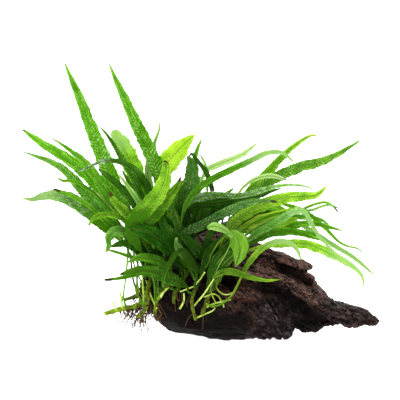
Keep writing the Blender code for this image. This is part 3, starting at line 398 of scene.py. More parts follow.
# ---- the stems and hair roots ----
# (radius in mm at the start and at the end, route as (across, down, mm in front of the wood))
CLINGING_STALKS = [
    (0.95, 0.7, [(179.5, 309, 1.2), (182, 305, 1.4), (184, 300, 1.6), (184, 293, 2.5)]),
    (0.8, 0.55, [(196, 318, 1.4), (205, 314, 2.4), (212, 311, 3), (215, 308, 3)]),
    (0.7, 0.6, [(193, 307, 2.4), (200, 299, 6), (206, 291, 9), (215, 277, 12), (222, 268, 12)]),
    (0.75, 0.6, [(204.5, 308, 2.4), (213, 304, 4), (220, 302, 4.6), (231, 299.5, 4)]),
    (0.6, 0.5, [(224, 307, 1.4), (222, 302, 3), (218, 296, 5), (212.5, 294, 6), (204, 297, 3)]),
    (0.6, 0.5, [(215, 284, 3), (218, 290, 4), (223, 294, 4.4), (228, 294.5, 3), (232, 293, 1)]),
    (0.6, 0.5, [(211, 285, 4), (211.5, 293, 4), (214, 299, 3), (216, 303, 1)]),
    (0.55, 0.5, [(208, 288, 4), (208, 296, 4), (209, 303, 2)]),
    (0.7, 0.6, [(180, 291.5, 2.4), (187, 289, 4), (194, 286, 5), (200, 279, 8), (205, 272, 10)]),
    (1.3, 1, [(157.5, 305, 3), (161, 296, 4), (165, 290.5, 4), (169, 287, 3)]),
    (0.75, 0.6, [(157, 309, 3.2), (151, 296, 5), (147, 283, 7), (143, 273, 9)]),
]
# (radius in mm at the start and at the end, route as (across, down, mm behind the origin))
FREE_STALKS = [
    (0.8, 0.65, [(144, 311, -28), (143.5, 300, -30), (143, 288, -31), (142, 275, -32)]),
    (0.7, 0.6, [(121, 309, -18.5), (123, 295, -19), (125.5, 278, -20), (127, 258, -22)]),
    (0.6, 0.5, [(136.5, 296, -3), (134, 282, -5), (131.5, 267, -8), (131, 250, -12)]),
    (0.6, 0.5, [(140, 294, -2), (137, 280, -5), (134, 264, -9), (133, 248, -14)]),
    (1, 0.8, [(122.5, 308, -20), (121.5, 301, -21), (120, 292.5, -22)]),
    (0.9, 0.6, [(117, 310, -21), (114, 305, -23), (113, 301, -24)]),
]
# creeping stem: (how many hair roots, shares of its length between which they grow, longest in mm)
HAIR_ROOTS = {
    "rhizome_left": (64, 0.42, 1, 22),
    "rhizome_upper_left": (64, 0.2, 1, 21),
    "rhizome_drooping": (90, 0, 0.8, 23),
    "rhizome_low_left": (26, 0, 0.6, 18),
    "rhizome_middle": (6, 0, 0.7, 18),
}
ORDINARY_ROOTS = (8, 0, 0.75, 18)
# creeping stem: the solids that its hair roots stand for
ROOT_NODES = {"rhizome_left": ["root_left"], "rhizome_drooping": ["root_drooping"]}
# creeping stem: how far painted shade darkens it, from 0 to 1
STEM_SHADES = {
    "rhizome_right": 0.5, "rhizome_front": 0.3, "rhizome_middle": 0.3, "rhizome_upper_left": 0.4,
    "rhizome_left": 0.1, "rhizome_low_left": 0.15,
}
# painted shade: heights between which the stems darken under the fronds
STEM_DARKENS = (34 * MM, 52 * MM)  # heights between which the stems grow dark under the fronds


# ---- sketch and curves ----
def unit(vectors):
    """Vectors divided by their lengths."""
    return vectors / np.maximum(np.linalg.norm(vectors, axis=-1, keepdims=True), 1e-12)


def place(across, down, depth):
    """Points where the sight lines through squares of the sketch reach a depth behind the origin, in mm."""
    line = (
        FORWARD * VIEW_DISTANCE
        + RIGHTWARD * (np.asarray(across, float)[..., None] - SKETCH_MIDDLE) * SQUARE
        + UPWARD * (SKETCH_MIDDLE - np.asarray(down, float)[..., None]) * SQUARE
    )
    return EYE + line * ((np.asarray(depth) * MM - EYE[1]) / line[..., 1])[..., None]


def sketch_of(points):
    """The squares of the sketch at which points are seen: their offsets from the eye, divided by how far
    away they are."""
    offset = points - EYE
    away = offset @ FORWARD / VIEW_DISTANCE
    right, up = (offset @ axis / away / SQUARE for axis in (RIGHTWARD, UPWARD))
    return SKETCH_MIDDLE + right, SKETCH_MIDDLE - up


def between(rows, at):
    """Catmull-Rom values of the rows at fractional row numbers: each a cubic of the four nearest rows."""
    rows = np.asarray(rows, float)
    padded = np.concatenate([[2 * rows[0] - rows[1]], rows, [2 * rows[-1] - rows[-2]]])
    low = np.clip(np.floor(at).astype(int), 0, len(rows) - 2)
    t = (at - low).reshape(-1, *[1] * (rows.ndim - 1))
    a, b, c, d = (padded[low + k] for k in range(4))
    return 0.5 * (2 * b + (c - a) * t + (2 * a - 5 * b + 4 * c - d) * t**2 + (3 * b - a - 3 * c + d) * t**3)


def distances(line):
    """How far each point of a line lies from its first one, along it."""
    return np.concatenate([[0], np.cumsum(np.linalg.norm(np.diff(line, axis=0), axis=1))])


def even_route(points, count):
    """Count evenly spaced points on the Catmull-Rom curve through the given ones."""
    fine = between(points, np.linspace(0, len(points) - 1, 12 * len(points)))
    reach = distances(fine)
    even = np.linspace(0, reach[-1], count)
    return np.column_stack([np.interp(even, reach, axis) for axis in fine.T])


def noise(points, seed):
    """Smooth noise from -1 to 1: values drawn for the corners of unit cubes, blended across each cube by the
    smoothed shares of its sides."""
    cell = np.floor(points).astype(np.int64)
    t = points - cell
    t = t * t * (3 - 2 * t)
    total = np.zeros(len(points))
    for corner in itertools.product((0, 1), repeat=3):
        x, y, z = (cell + corner).T
        drawn = (x * 73856093 ^ y * 19349663 ^ z * 83492791 ^ seed * 2971215073) & 0x7FFFFFFF
        drawn = (drawn ^ (drawn >> 13)) * 1274126177 & 0x7FFFFFFF
        drawn = (drawn ^ (drawn >> 16)) & 0xFFFF
        total += (drawn / 32767.5 - 1) * np.prod(np.where(corner, t, 1 - t), axis=1)
    return total


def step(values, low, high):
    """0 below low, 1 above high, and a smooth S between them."""
    t = np.clip((values - low) / (high - low), 0, 1)
    return t * t * (3 - 2 * t)


def bell(distance, half_width):
    """1 at no distance, and falling off on both sides as the power of e to minus its square."""
    return np.exp(-((distance / half_width) ** 2))


def distance_to_line(across, down, line):
    """How far, in squares, points lie from a bent line of the sketch: the least of the distances to its
    stretches."""
    nearest = np.full(across.shape, np.inf)
    for (ax, ay), (bx, by) in zip(line, line[1:]):
        length = (bx - ax) ** 2 + (by - ay) ** 2
        t = np.clip(((across - ax) * (bx - ax) + (down - ay) * (by - ay)) / length, 0, 1)
        nearest = np.minimum(nearest, np.hypot(across - ax - t * (bx - ax), down - ay - t * (by - ay)))
    return nearest


def turns(count):
    """Angles of a count of corners, evenly once round."""
    return np.linspace(0, 2 * math.pi, count, endpoint=False)


# ---- meshes ----
def closed_lofts(rings, last=None):
    """Corners and faces of closed surfaces, one for each array (stations, sides, 3) in rings. Four-sided
    faces join neighbouring rings, and a fan joins each end to a point. All are turned so that the volume is
    positive."""
    lofts, stations, sides = rings.shape[:3]
    first = rings[:, 0].mean(1)
    last = rings[:, -1].mean(1) if last is None else last
    points = np.concatenate([rings.reshape(lofts, -1, 3), first[:, None], last[:, None]], axis=1)
    corner = np.arange(stations * sides).reshape(stations, sides)
    after = np.roll(corner, -1, axis=1)
    quads = np.stack([corner[:-1], after[:-1], after[1:], corner[1:]], -1).reshape(-1, 4)
    start = np.stack([np.full(sides, stations * sides), after[0], corner[0]], -1)
    finish = np.stack([np.full(sides, stations * sides + 1), corner[-1], after[-1]], -1)
    a, b, c, d = (points[0][quads[:, k]] for k in range(4))
    volume = np.sum(a * np.cross(b, c)) + np.sum(a * np.cross(c, d))
    turn = slice(None, None, -1) if volume < 0 else slice(None)
    shift = (np.arange(lofts) * points.shape[1])[:, None, None]
    quads = (quads[None, :, turn] + shift).reshape(-1, 4)
    fans = (np.concatenate([start, finish])[None, :, turn] + shift).reshape(-1, 3)
    return points.reshape(-1, 3), quads.tolist() + fans.tolist()


def paired(first, second, shape):
    """Two values of a map side by side, each spread out to a shape."""
    return np.stack([np.broadcast_to(first, shape), np.broadcast_to(second, shape)], -1)


def per_corner(values, first, last):
    """Values (lofts, stations, sides, 2) of a map, with those of the two end points after each loft's own."""
    lofts = len(values)
    ends = [np.broadcast_to(np.asarray(end, float).reshape(-1, 1, 2), (lofts, 1, 2)) for end in (first, last)]
    return np.concatenate([values.reshape(lofts, -1, 2), *ends], axis=1).reshape(-1, 2)


def add_piece(name, surface, material, maps=None, replaced=()):
    mesh = bpy.data.meshes.new(name)
    mesh.from_pydata(surface[0], [], surface[1])
    corner_of = np.empty(len(mesh.loops), np.int32)
    mesh.loops.foreach_get("vertex_index", corner_of)
    for title, values in (maps or {}).items():
        layer = mesh.uv_layers.new(name=title)
        layer.data.foreach_set("uv", values[corner_of].astype(np.float32).ravel())
    mesh.materials.append(material)
    mesh.shade_smooth()
    piece = bpy.data.objects.new(name, mesh)
    bpy.context.scene.collection.objects.link(piece)
    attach(piece, "root")
    if replaced:
        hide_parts(*replaced)


def frames_along(paths, hint):
    """Tangents of paths (paths, stations, 3), and two directions across each. The first is square to the
    hint at the start, and is carried on by taking off its part along each new tangent."""
    tangent = unit(np.gradient(paths, axis=1))
    side = np.empty_like(tangent)
    side[:, 0] = unit(np.cross(tangent[:, 0], hint))
    for i in range(1, paths.shape[1]):
        along = np.sum(side[:, i - 1] * tangent[:, i], axis=-1, keepdims=True)
        side[:, i] = unit(side[:, i - 1] - tangent[:, i] * along)
    return tangent, side, np.cross(tangent, side)


def tubes(paths, radii, sides):
    """Rings of round tubes: circles across paths, of radii (paths, stations) or with one more axis."""
    _, side, over = frames_along(paths, FORWARD + 0.13 * RIGHTWARD)
    angle = turns(sides)[:, None]
    circle = side[:, :, None] * np.cos(angle) + over[:, :, None] * np.sin(angle)
    radii = radii[..., None] if radii.ndim == 2 else radii
    return paths[:, :, None] + circle * radii[..., None]


# ---- reading the solids ----
ROUND_TO = 7  # decimals of a metre to which corners are the same
END_RADIUS = 6 * MM  # no corner of a flat end is further than this from another
FLATNESS = 0.01 * MM


def flat_end(corners, triangles, tip):
    """The corners round a tube's flat end: of the planes of the triangles at one of its corners, the one that
    holds most of the corners nearby."""
    best = []
    near = np.linalg.norm(corners - corners[tip], axis=1) < END_RADIUS
    for triangle in triangles[(triangles == tip).any(1)]:
        a, b, c = corners[triangle]
        off = (corners - a) @ unit(np.cross(b - a, c - a))
        held = np.flatnonzero(near & (np.abs(off) < FLATNESS))
        best = max(best, held.tolist(), key=len)
    return best


def levels_of(linked, start):
    """The corners in steps from a first set of them along the edges."""
    seen = np.zeros(len(linked), bool)
    seen[start] = True
    levels = [np.asarray(start)]
    while True:
        found = linked[levels[-1]].any(0) & ~seen
        if not found.any():
            return levels
        seen |= found
        levels.append(np.flatnonzero(found))


def linked_corners(node):
    """A solid's corners, each once, its triangles as rows of three corner numbers, and a table of the pairs
    of corners that an edge joins."""
    mesh = frame["nodes"][node].data
    loose = np.empty(3 * len(mesh.vertices))
    mesh.vertices.foreach_get("co", loose)
    corners, number = np.unique(np.round(loose.reshape(-1, 3), ROUND_TO), axis=0, return_inverse=True)
    mesh.calc_loop_triangles()
    used = np.empty(3 * len(mesh.loop_triangles), np.int32)
    mesh.loop_triangles.foreach_get("vertices", used)
    triangles = number.reshape(-1)[used].reshape(-1, 3)
    linked = np.zeros((len(corners), len(corners)), bool)
    for a, b in ((0, 1), (1, 2), (2, 0)):
        linked[triangles[:, a], triangles[:, b]] = True
    return corners, triangles, linked | linked.T


def frond_frame(node):
    """The middle line, sideways directions and half widths of a frond's solid, from its foot to its tip. The
    corners in equal steps from the tip make its rings of four. The two corners of each ring that lie furthest
    apart are the blade's edges, and of the other two the nearer one is its upper face."""
    corners, _, linked = linked_corners(node)
    one_end = levels_of(linked, [0])[-1]
    other_end = levels_of(linked, one_end[:1])[-1]
    for tip in [*one_end, *other_end]:
        levels = levels_of(linked, [tip])
        if all(len(level) == 4 for level in levels[1:]):
            break
    rings = corners[np.array(levels[:0:-1])]
    last = corners[tip]
    pairs = np.array([(0, 1, 2, 3), (0, 2, 1, 3), (0, 3, 1, 2)])
    a, b, c, d = (rings[:, pairs[:, k]] for k in range(4))
    spread, spread_other = np.linalg.norm(a - b, axis=-1), np.linalg.norm(c - d, axis=-1)
    middle = np.linalg.norm((a + b - c - d) / 2, axis=-1)
    chosen = np.argmin(middle, axis=1)
    row = np.arange(len(rings))
    order = pairs[chosen]
    swap = spread[row, chosen] < spread_other[row, chosen]
    order[swap] = order[swap][:, [2, 3, 0, 1]]
    left, right, one, other = (rings[row, order[:, k]] for k in range(4))
    centre = (left + right) / 2
    nearer = np.linalg.norm(one - centre, axis=1) < np.linalg.norm(other - centre, axis=1)
    over = unit(np.where(nearer[:, None], one - other, other - one))
    spine = np.vstack([centre, last])
    tangent = unit(np.gradient(spine, axis=0))[:-1]
    side = unit(np.cross(over, tangent))
    reach = np.linalg.norm(left - right, axis=1) / 2
    return spine, np.vstack([side, side[-1:]]), np.append(reach, 0.0)


@functools.cache
def stem_frame(node):
    """The middle line and radii of a round stem's solid."""
    corners, triangles, linked = linked_corners(node)
    tip = levels_of(linked, [0])[-1][0]
    levels = levels_of(linked, flat_end(corners, triangles, tip))
    centre = np.array([corners[level].mean(0) for level in levels])
    radius = np.array([np.linalg.norm(corners[level] - c, axis=1).mean() for level, c in zip(levels, centre)])
    return centre, radius


def upright_stem(node):
    """A stem's middle line and radii from its lower end to its upper one."""
    centre, radius = stem_frame(node)
    return (centre[::-1], radius[::-1]) if centre[0, 2] > centre[-1, 2] else (centre, radius)


# ---- materials ----
class Amount:
    """A number that varies over a surface: a node's output, on which + - * and abs() set up Math nodes."""

    def __init__(self, surface, socket):
        self.surface, self.socket = surface, socket

    def __add__(self, other):
        return self.surface.maths("ADD", self, other)

    def __sub__(self, other):
        return self.surface.maths("SUBTRACT", self, other)

    def __rsub__(self, other):
        return self.surface.maths("SUBTRACT", other, self)

    def __mul__(self, other):
        return self.surface.maths("MULTIPLY", self, other)

    def __lt__(self, other):
        return self.surface.maths("LESS_THAN", self, other)

    def __abs__(self):
        return self.surface.maths("ABSOLUTE", self)

    def sine(self):
        return self.surface.maths("SINE", self)

    def limited(self):
        """The amount, cut off below 0 and above 1."""
        return Amount(self.surface, self.surface.node("Clamp", {0: self}).outputs[0])


class Surface:
    """A material under construction: its node tree, and short ways to add nodes to it."""

    def __init__(self, name):
        self.material = bpy.data.materials.new(name)
        self.material.use_nodes = True
        self.tree = self.material.node_tree
        self.tree.nodes.clear()

    def node(self, kind, inputs=None, **settings):
        made = self.tree.nodes.new("ShaderNode" + kind)
        for key, value in settings.items():
            setattr(made, key, value)
        for key, value in (inputs or {}).items():
            value = value.socket if isinstance(value, Amount) else value
            if isinstance(value, bpy.types.NodeSocket):
                self.tree.links.new(value, made.inputs[key])
            else:
                made.inputs[key].default_value = value
        return made

    def maths(self, operation, first, second=0.0):
        return Amount(self, self.node("Math", {0: first, 1: second}, operation=operation).outputs[0])

    def coats(self, colour, *laid):
        """A colour with others laid over it in turn, each as (its share, its colour). The shares are cut off
        below 0 and above 1."""
        for share, over in laid:
            ends = [end if isinstance(end, bpy.types.NodeSocket) else (*end, 1) for end in (colour, over)]
            colour = self.node("Mix", {0: share, 6: ends[0], 7: ends[1]}, data_type="RGBA").outputs[2]
        return colour

    def here(self):
        return self.node("TexCoord").outputs["Object"]

    def drawn_out(self, where, scale):
        """Places closer together along x, so that a pattern on them is drawn out along it."""
        return self.node("Mapping", {"Vector": where, "Scale": (scale, 1.0, 1.0)}).outputs[0]

    def spots(self, scale, detail=3.0, where=None, roughness=0.55):
        inputs = {"Vector": where or self.here(), "Scale": scale, "Detail": detail, "Roughness": roughness}
        return Amount(self, self.node("TexNoise", inputs).outputs["Fac"])

    def flat_spots(self, across, along, detail, roughness=0.55):
        where = self.node("CombineXYZ", {0: across, 1: along}).outputs[0]
        return self.spots(1.0, detail, where, roughness)

    def uv(self, title):
        split = self.node("SeparateXYZ", {0: self.node("UVMap", uv_map=title).outputs[0]})
        return Amount(self, split.outputs[0]), Amount(self, split.outputs[1])

    def bump(self, strength, distance, height):
        return self.node("Bump", {"Strength": strength, "Distance": distance, "Height": height}).outputs[0]

    def skin(self, colour, gloss, specular, **more):
        inputs = {"Base Color": colour, "Roughness": gloss, "Specular IOR Level": specular, **more}
        return self.node("BsdfPrincipled", inputs).outputs[0]

    def finish(self, shader):
        output = self.node("OutputMaterial")
        self.tree.links.new(shader, output.inputs["Surface"])
        return self.material


def shade(colour, factor):
    return tuple(c * factor for c in colour)


# Colours that all leaves share
MIDDLE_TINT = (0.66, 0.97, 0.75)  # a leaf's middle tone as shares of the mean of its dark and light ones
# painted highlights on the leaves' puckers
PAINTED_LEAF_GLINT = (0.52, 0.72, 0.34)
# painted silvery sheen on the upper faces of some leaves
PAINTED_SHEEN = (0.60, 0.77, 0.54)
MIDRIB = (0.09, 0.05, 0.018)
BLEACHED = (0.35, 0.53, 0.20)
BROWNED, BROWN_GLOW = (0.055, 0.028, 0.012), (0.05, 0.025, 0.01)
# painted shade among the crowded bases of the fronds, on the skin and on the light shining through
PAINTED_SHADE_COLOUR, PAINTED_SHADE_GLOW = (0.0028, 0.0155, 0.0002), (0.0028, 0.0165, 0.0002)
LEAF_GLOW = 0.4  # share of a leaf's light that shines through it
LEAF_PATCHES, LEAF_GRAIN = 95.0, 900.0  # scales of their noise
BESIDE_MIDRIB = 0.4  # mm
LEAF_BUMP, WOOD_BUMP, STEM_BUMP = 0.0005, 0.0018, 0.0005  # metres

# painted highlights: small bluish glints on the wet wood
PAINTED_WOOD_GLINT = (0.10, 0.082, 0.094)
FIBRE_LEANS = (28, 54)  # degrees from level at which the fibres run, on the slopes and on the steep part
FIBRE_SHAKE = (0.004, 0.004, 0.004)  # metres by which noise moves the chips' places
FIBRE_SCALE, SPLIT_SCALE, PORE_SCALE = 470.0, 330.0, 700.0
FIBRE_DRAWN, CHIP_DRAWN, SPLIT_DRAWN = 0.24, 0.34, 0.14  # less is longer along the grain
STEM_SHADOW = (0.012, 0.018, 0.002)


def leaf_material(name, dark, light, painted_sunlit, through, rough, streaked):
    """A leaf's skin, mottled and streaked along its length, and darker in its veins, partly their own colour
    and partly painted shade in the creases between its puckers. It has painted highlights as light flecks on
    its puckers, a painted silvery sheen, a reddish midrib, brown or bleached parts, painted shade among the
    crowded bases of the fronds and a paler underside, and light shines through it. Where its level runs above
    1 it takes the painted sunlight colour of its tint."""
    s = Surface(name)
    veins, puckered = s.uv("veins")
    beside, along = s.uv("grain")
    tone, painted_shade = s.uv("tone")
    changed, under = s.uv("marks")
    vein = abs((veins * math.pi).sine())
    slanted = along - abs(beside) * 0.9
    patches, fine = s.spots(LEAF_PATCHES), s.spots(LEAF_GRAIN)
    streaks = s.flat_spots(beside * 1.1, along * 0.05, 2.0)
    dashes = s.flat_spots(beside * 0.95, slanted * 0.42, 1.0)
    sheen_flakes = s.flat_spots(beside * 0.55, slanted * 0.22, 2.5, 0.62) + vein * 0.1
    level = tone * 0.8 + 0.14 + (patches - 0.5) + (streaks - 0.5) * streaked + (fine - 0.5)
    # darker in the veins: partly their own colour, partly painted shade in the creases between the puckers
    level = level + (vein - 0.64) * (puckered * 0.42 + 0.13)
    level = level - ((0.44 - dashes) * 7.0).limited() * puckered * 0.9
    # painted highlights: light flecks on the puckers between the veins
    leaf_glint = ((dashes + vein * 0.26 - 0.76) * 12.0).limited() * puckered * 1.3
    leaf_glint = leaf_glint * ((patches - 0.38) * 5.0).limited() * (level.limited() * 0.85 + 0.15)
    colour = s.coats(
        dark,
        (level * 2.0, tuple((a + b) / 2 * share for a, b, share in zip(dark, light, MIDDLE_TINT))),
        (level * 2.0 - 1.0, light),
        # painted light: the colour of painted sunlight where the level runs above 1
        (level - 1.0, painted_sunlit),
        # painted highlights on the puckers
        (leaf_glint, PAINTED_LEAF_GLINT),
        # painted silvery sheen, in flakes, where the marks map is below 0
        (((sheen_flakes - 0.545) * 14.0).limited() * under * -1.0, PAINTED_SHEEN),
        (under * 0.3, tuple(0.75 * c + 0.06 for c in light)),
        ((abs(beside) < BESIDE_MIDRIB) * 0.55, MIDRIB),
        (changed * -0.7, BLEACHED),
        (changed, BROWNED),
        # painted shade among the crowded bases of the fronds
        (painted_shade, PAINTED_SHADE_COLOUR),
    )
    # the light through the leaf, darkened as well by the painted shade among the crowded bases
    lit = s.coats(colour, (0.5, through), (changed, BROWN_GLOW), (painted_shade, PAINTED_SHADE_GLOW))
    bump = s.bump(0.5, LEAF_BUMP, dashes * 0.8 + fine * 0.6)
    skin = s.skin(colour, patches * 0.25 + (rough - 0.12), 0.03, Normal=bump)
    glow = s.node("BsdfTranslucent", {"Color": lit, "Normal": bump}).outputs[0]
    return s.finish(s.node("MixShader", {0: LEAF_GLOW, 1: skin, 2: glow}).outputs[0])


def wood_material(black, brown, red):
    """Wet wood, near black: brown on its ridges and reddish in places, with painted shade black in its pits
    and cracks and painted light and shade by part. It is torn along the grain, with small painted bluish
    glints where it is steep."""
    s = Surface("wet_driftwood")
    crest, painted_light_zone = s.uv("relief")
    # the second value marks where painted glints show
    redness, steep = s.uv("warmth")
    uneven = s.node("TexNoise", {"Vector": s.here(), "Scale": 420.0, "Detail": 2.0}).outputs["Color"]
    uneven = s.node("VectorMath", {0: uneven, 1: (0.5, 0.5, 0.5)}, operation="SUBTRACT").outputs[0]
    pairs = []
    for lean in FIBRE_LEANS:
        turned = s.node("Mapping", {"Vector": s.here(), "Rotation": (0, math.radians(-lean), 0)}).outputs[0]
        bent = s.node("VectorMath", {0: uneven, 1: FIBRE_SHAKE, 2: turned}, operation="MULTIPLY_ADD")
        chip_inputs = {"Vector": s.drawn_out(bent.outputs[0], CHIP_DRAWN), "Scale": SPLIT_SCALE}
        chip = s.node("SeparateColor", {0: s.node("TexVoronoi", chip_inputs).outputs["Color"]}).outputs[0]
        gap = s.node("TexVoronoi", chip_inputs, feature="DISTANCE_TO_EDGE").outputs["Distance"]
        torn = s.spots(FIBRE_SCALE, 4.0, s.drawn_out(turned, FIBRE_DRAWN), 0.7)
        split = s.spots(SPLIT_SCALE, 3.0, s.drawn_out(turned, SPLIT_DRAWN))
        pairs.append((torn, split, Amount(s, chip), Amount(s, gap)))
    fibres, splits, chips, gaps = (along + (over - along) * steep for along, over in zip(*pairs))
    whole = ((abs(splits - 0.5) - 0.016) * 45.0).limited() * (gaps * 5.0).limited()
    patches, pores = s.spots(85.0, 4.0), s.spots(PORE_SCALE)
    # painted light on the crests, painted shade in the cracks and pits
    level = crest * 1.3 - 0.15
    for value, share in ((fibres, 8.0), (patches, 1.8), (pores, 3.5), (chips, 1.5)):
        level = level + (value - 0.5) * share
    # painted light and shade by part, and near black in the thin cracks
    level = level.limited() * painted_light_zone * (whole * 0.85 + 0.15)
    warm = redness * (patches * 2.4 - 0.4)
    ridge = s.coats(brown, (warm, red), (s.spots(40.0, 2.0) * 0.4, shade(red, 1.2)))
    # painted highlights: small bluish glints on crests where the wood is steep
    wood_glint = ((fibres * crest + pores * 0.6 - 0.7) * 14.0).limited() * steep * whole
    colour = s.coats(black, (level, ridge), (wood_glint * 0.5, PAINTED_WOOD_GLINT))
    bump = s.bump(1.0, WOOD_BUMP, fibres + pores * 0.5 + whole * 0.35 + chips * 0.3)
    return s.finish(s.skin(colour, fibres * 0.4 + 0.3, 0.055, Normal=bump))


def stem_material(name, green, brown, cut):
    """A creeping stem's skin: green with brown flecks and scars, darkened by painted shade under the fronds,
    and pale at a cut end.
    """
    s = Surface(name)
    along, cut_end_and_shade = s.uv("stem")
    flecks = s.spots(330.0, 4.0)
    scars = flecks * 5.0 + s.spots(90.0, 2.0) * 5.0 - 4.5
    colour = s.coats(
        green,
        (scars, brown),
        # painted highlights as fine lighter speckles over the stem's green
        (s.spots(1500.0, 2.0) * 0.3, shade(green, 1.8)),
        # painted shade under the fronds
        (cut_end_and_shade * -1.0, STEM_SHADOW),
        (cut_end_and_shade, cut),
    )
    bump = s.bump(0.6, STEM_BUMP, (along * 9.0).sine() * 0.15 + flecks)
    return s.finish(s.skin(colour, flecks * 0.3 + 0.3, 0.04, Normal=bump))


def root_material(dark, light):
    """Hair roots: dark brown to rusty, lighter at their growing ends."""
    s = Surface("hair_root")
    tone, share = s.uv("root")
    level = tone * 0.9 + share * 0.4 + s.spots(300.0, 2.0) * 0.4 - 0.35
    return s.finish(s.skin(s.coats(dark, (level, light)), 0.6, 0.08))


# ---- the driftwood ----
FINE_STATIONS = 310
FINE_SIDES = 284
TIP_STATIONS = 10
WOOD_SQUARENESS = 0.74  # 1 is a round section, less is boxier
WOOD_LUMPS = 1.1 * MM
# (degrees by which the fibres lean down to the right, how strong they are, seed of their noise) on each part
FIBRES = ((27, 1, 11), (52, 1, 12), (22, 1, 13), (8, 0.5, 14))
# Four sizes of them: (length, height and depth of a crest in mm), what is added to the seed
COARSE, MIDDLING = ((20, 5.0, 9), 0), ((8, 2.4, 5), 20)
CLOSE, LONG = ((4.5, 1.5, 2.6), 40), ((22, 1.9, 5), 60)
PIT_SIZES = (4.0, 3.2, 2.8)  # in mm
END_STATIONS = (16, 24)  # rings at the left and right ends along which the fine relief fades in


def relief(across, down, features):
    """Height in millimetres of the ridges and hollows: each a bell across its own line."""
    return sum(rise * bell(distance_to_line(across, down, line), half) for line, half, rise in features)


def soft_lumps(points):
    """Broad, uneven swellings, from -1 to 1, as a sum of slanting waves."""
    x, y, z = (points / MM).T
    waves = np.sin(0.11 * x + 0.07 * z + 1.3) * np.sin(0.13 * z - 0.09 * y + 0.4)
    return 0.6 * waves + 0.4 * np.sin(0.23 * x - 0.19 * y + 2.1) * np.sin(0.21 * z + 0.17 * y)


def wood_rings():
    """Rings of points round the lump: powers of a cosine and a sine between the outline's top and bottom.
    They are pushed out by the broad features, pulled back under the beak, and drawn in to a point at each
    end."""
    outline = np.array(WOOD_OUTLINE)
    tops = place(outline[:, 0], outline[:, 1], outline[:, 5])
    bottoms = place(outline[:, 2], outline[:, 3], outline[:, 5] - 0.7 * outline[:, 4])
    ribs = np.column_stack([tops[:, [0, 2]], bottoms[:, [0, 2]], outline[:, 4:] * MM])
    fine = between(ribs, np.linspace(0, len(ribs) - 1, FINE_STATIONS))
    waves = np.cos(turns(FINE_SIDES)), np.sin(turns(FINE_SIDES))
    up, out = (np.sign(wave) * np.abs(wave) ** WOOD_SQUARENESS for wave in waves)
    top, bottom = fine[:, None, 0:2], fine[:, None, 2:4]
    height = (top + bottom) / 2 + (top - bottom) / 2 * up[:, None]
    depth = fine[:, 5:6] - fine[:, 4:5] * out
    rings = np.stack([height[..., 0], depth, height[..., 1]], -1)
    points = rings.reshape(-1, 3)
    across, down = sketch_of(points)
    facing = np.tile(out, len(rings))
    front = relief(across, down, WOOD_FRONT) * np.clip(facing, 0, 1) ** 0.6
    back = relief(across, down, WOOD_BACK) * np.clip(-facing, 0, 1) ** 0.6
    outward = unit(rings - rings.mean(1, keepdims=True)).reshape(-1, 3)
    points = points + outward * (WOOD_LUMPS * soft_lumps(points))[:, None]
    points[:, 1] += (back - front) * MM
    starts, full, middle_down, half_height, pull = BEAK_UNDERCUT
    nearness = bell(down - middle_down, half_height) * step(across, starts, full)
    points[:, 0] -= pull * SQUARE * nearness
    points[:, 2] = np.maximum(points[:, 2], 0)
    rings = points.reshape(rings.shape)
    shrink = np.sqrt(np.linspace(0.04, 1, TIP_STATIONS, endpoint=False))[:, None, None]
    left, right = place(*WOOD_LEFT_END), place(*WOOD_RIGHT_END)
    left_tip = left + (rings[0] - left) * shrink
    right_tip = right + (rings[-1] - right) * shrink[::-1]
    return np.concatenate([left_tip, rings, right_tip])


def grain(points, lean, lengths, seed):
    """Ridged noise, 1 on its crests and -1 in its valleys, stretched along a line that leans down to the
    right in the sketch by an angle in degrees."""
    angle = math.radians(lean)
    along = points[:, 0] * math.cos(angle) - points[:, 2] * math.sin(angle)
    beside = points[:, 0] * math.sin(angle) + points[:, 2] * math.cos(angle)
    turned = np.column_stack([along, beside, points[:, 1]])
    return 1 - 2 * np.abs(noise(turned / (np.array(lengths) * MM), seed))


def shake(points, far, size, seeds):
    """Smooth noise of a size in mm at points: a shift of up to a distance in mm along each axis."""
    return far * MM * np.column_stack([noise(points / (size * MM), seed) for seed in seeds])


def outward_normals(grid):
    """Normals of a grid (stations, sides, 3) that is closed round its sides: the cross product of its two
    differences, pointing away from the middle line."""
    along = np.gradient(grid, axis=0)
    around = np.roll(grid, -1, axis=1) - np.roll(grid, 1, axis=1)
    normal = unit(np.cross(along, around))
    away = grid - grid.mean(1, keepdims=True)
    return normal if np.sum(normal * away) > 0 else -normal


def wood_parts(across, down):
    """How much squares of the sketch belong to each part of the wood: the slanting slab and rib, the steep
    part below them, the tail at the right, and the level base."""
    steep = step(across, 244, 262) * step(down, 292, 304) * step(-across, -304, -290)
    tail = step(across, 316, 334)
    level = step(down, 304, 320) * (1 - steep) * (1 - tail)
    return 1 - np.maximum(np.maximum(steep, tail), level), steep, tail, level


def wood_marks(across, down, facing, parts):
    """Height in mm of the marks at squares of the sketch, how reddish it is there, and how brown: partly the
    wood's own colour, partly painted light and shade, lightest on the slanting slab and rib, darker under the
    rib's edge, among the stems and in the hollows, and darkest on the level base.
    """
    # painted light and shade: lit most on the slanting parts, less under the rib's edge, least on the level
    # base
    beneath = step(down - 0.52 * across, 140, 153)  # the slope under the rib's edge
    slanting, steep, tail, level = parts
    brown = (2.0 - 1.45 * beneath) * slanting + 0.19 * steep + 0.55 * tail + 0.02 * level
    # painted shade among the stems, under the fronds
    brown *= 1 - 0.88 * step(-across, -232, -204) * step(down, 256, 276)  # dark among the stems
    height = np.zeros(len(across))
    red = np.zeros(len(across))
    for line, half_width, rise, redness in WOOD_MARKS:
        mark = bell(distance_to_line(across, down, line), half_width) * facing
        height += rise * mark
        red = np.maximum(red, redness * mark)
        # painted shade in the hollows of the marks
        brown *= 1 - np.clip(-0.5 * rise, 0, 0.9) * mark
    for line, half_width, rise in WOOD_FRONT:
        mark = bell(distance_to_line(across, down, line), half_width) * facing
        # painted shade in the broad hollows
        brown *= 1 - np.clip(-0.07 * rise, 0, 0.75) * mark
    return height, red, np.clip(brown, 0, 2) * (1 - 0.45 * red)


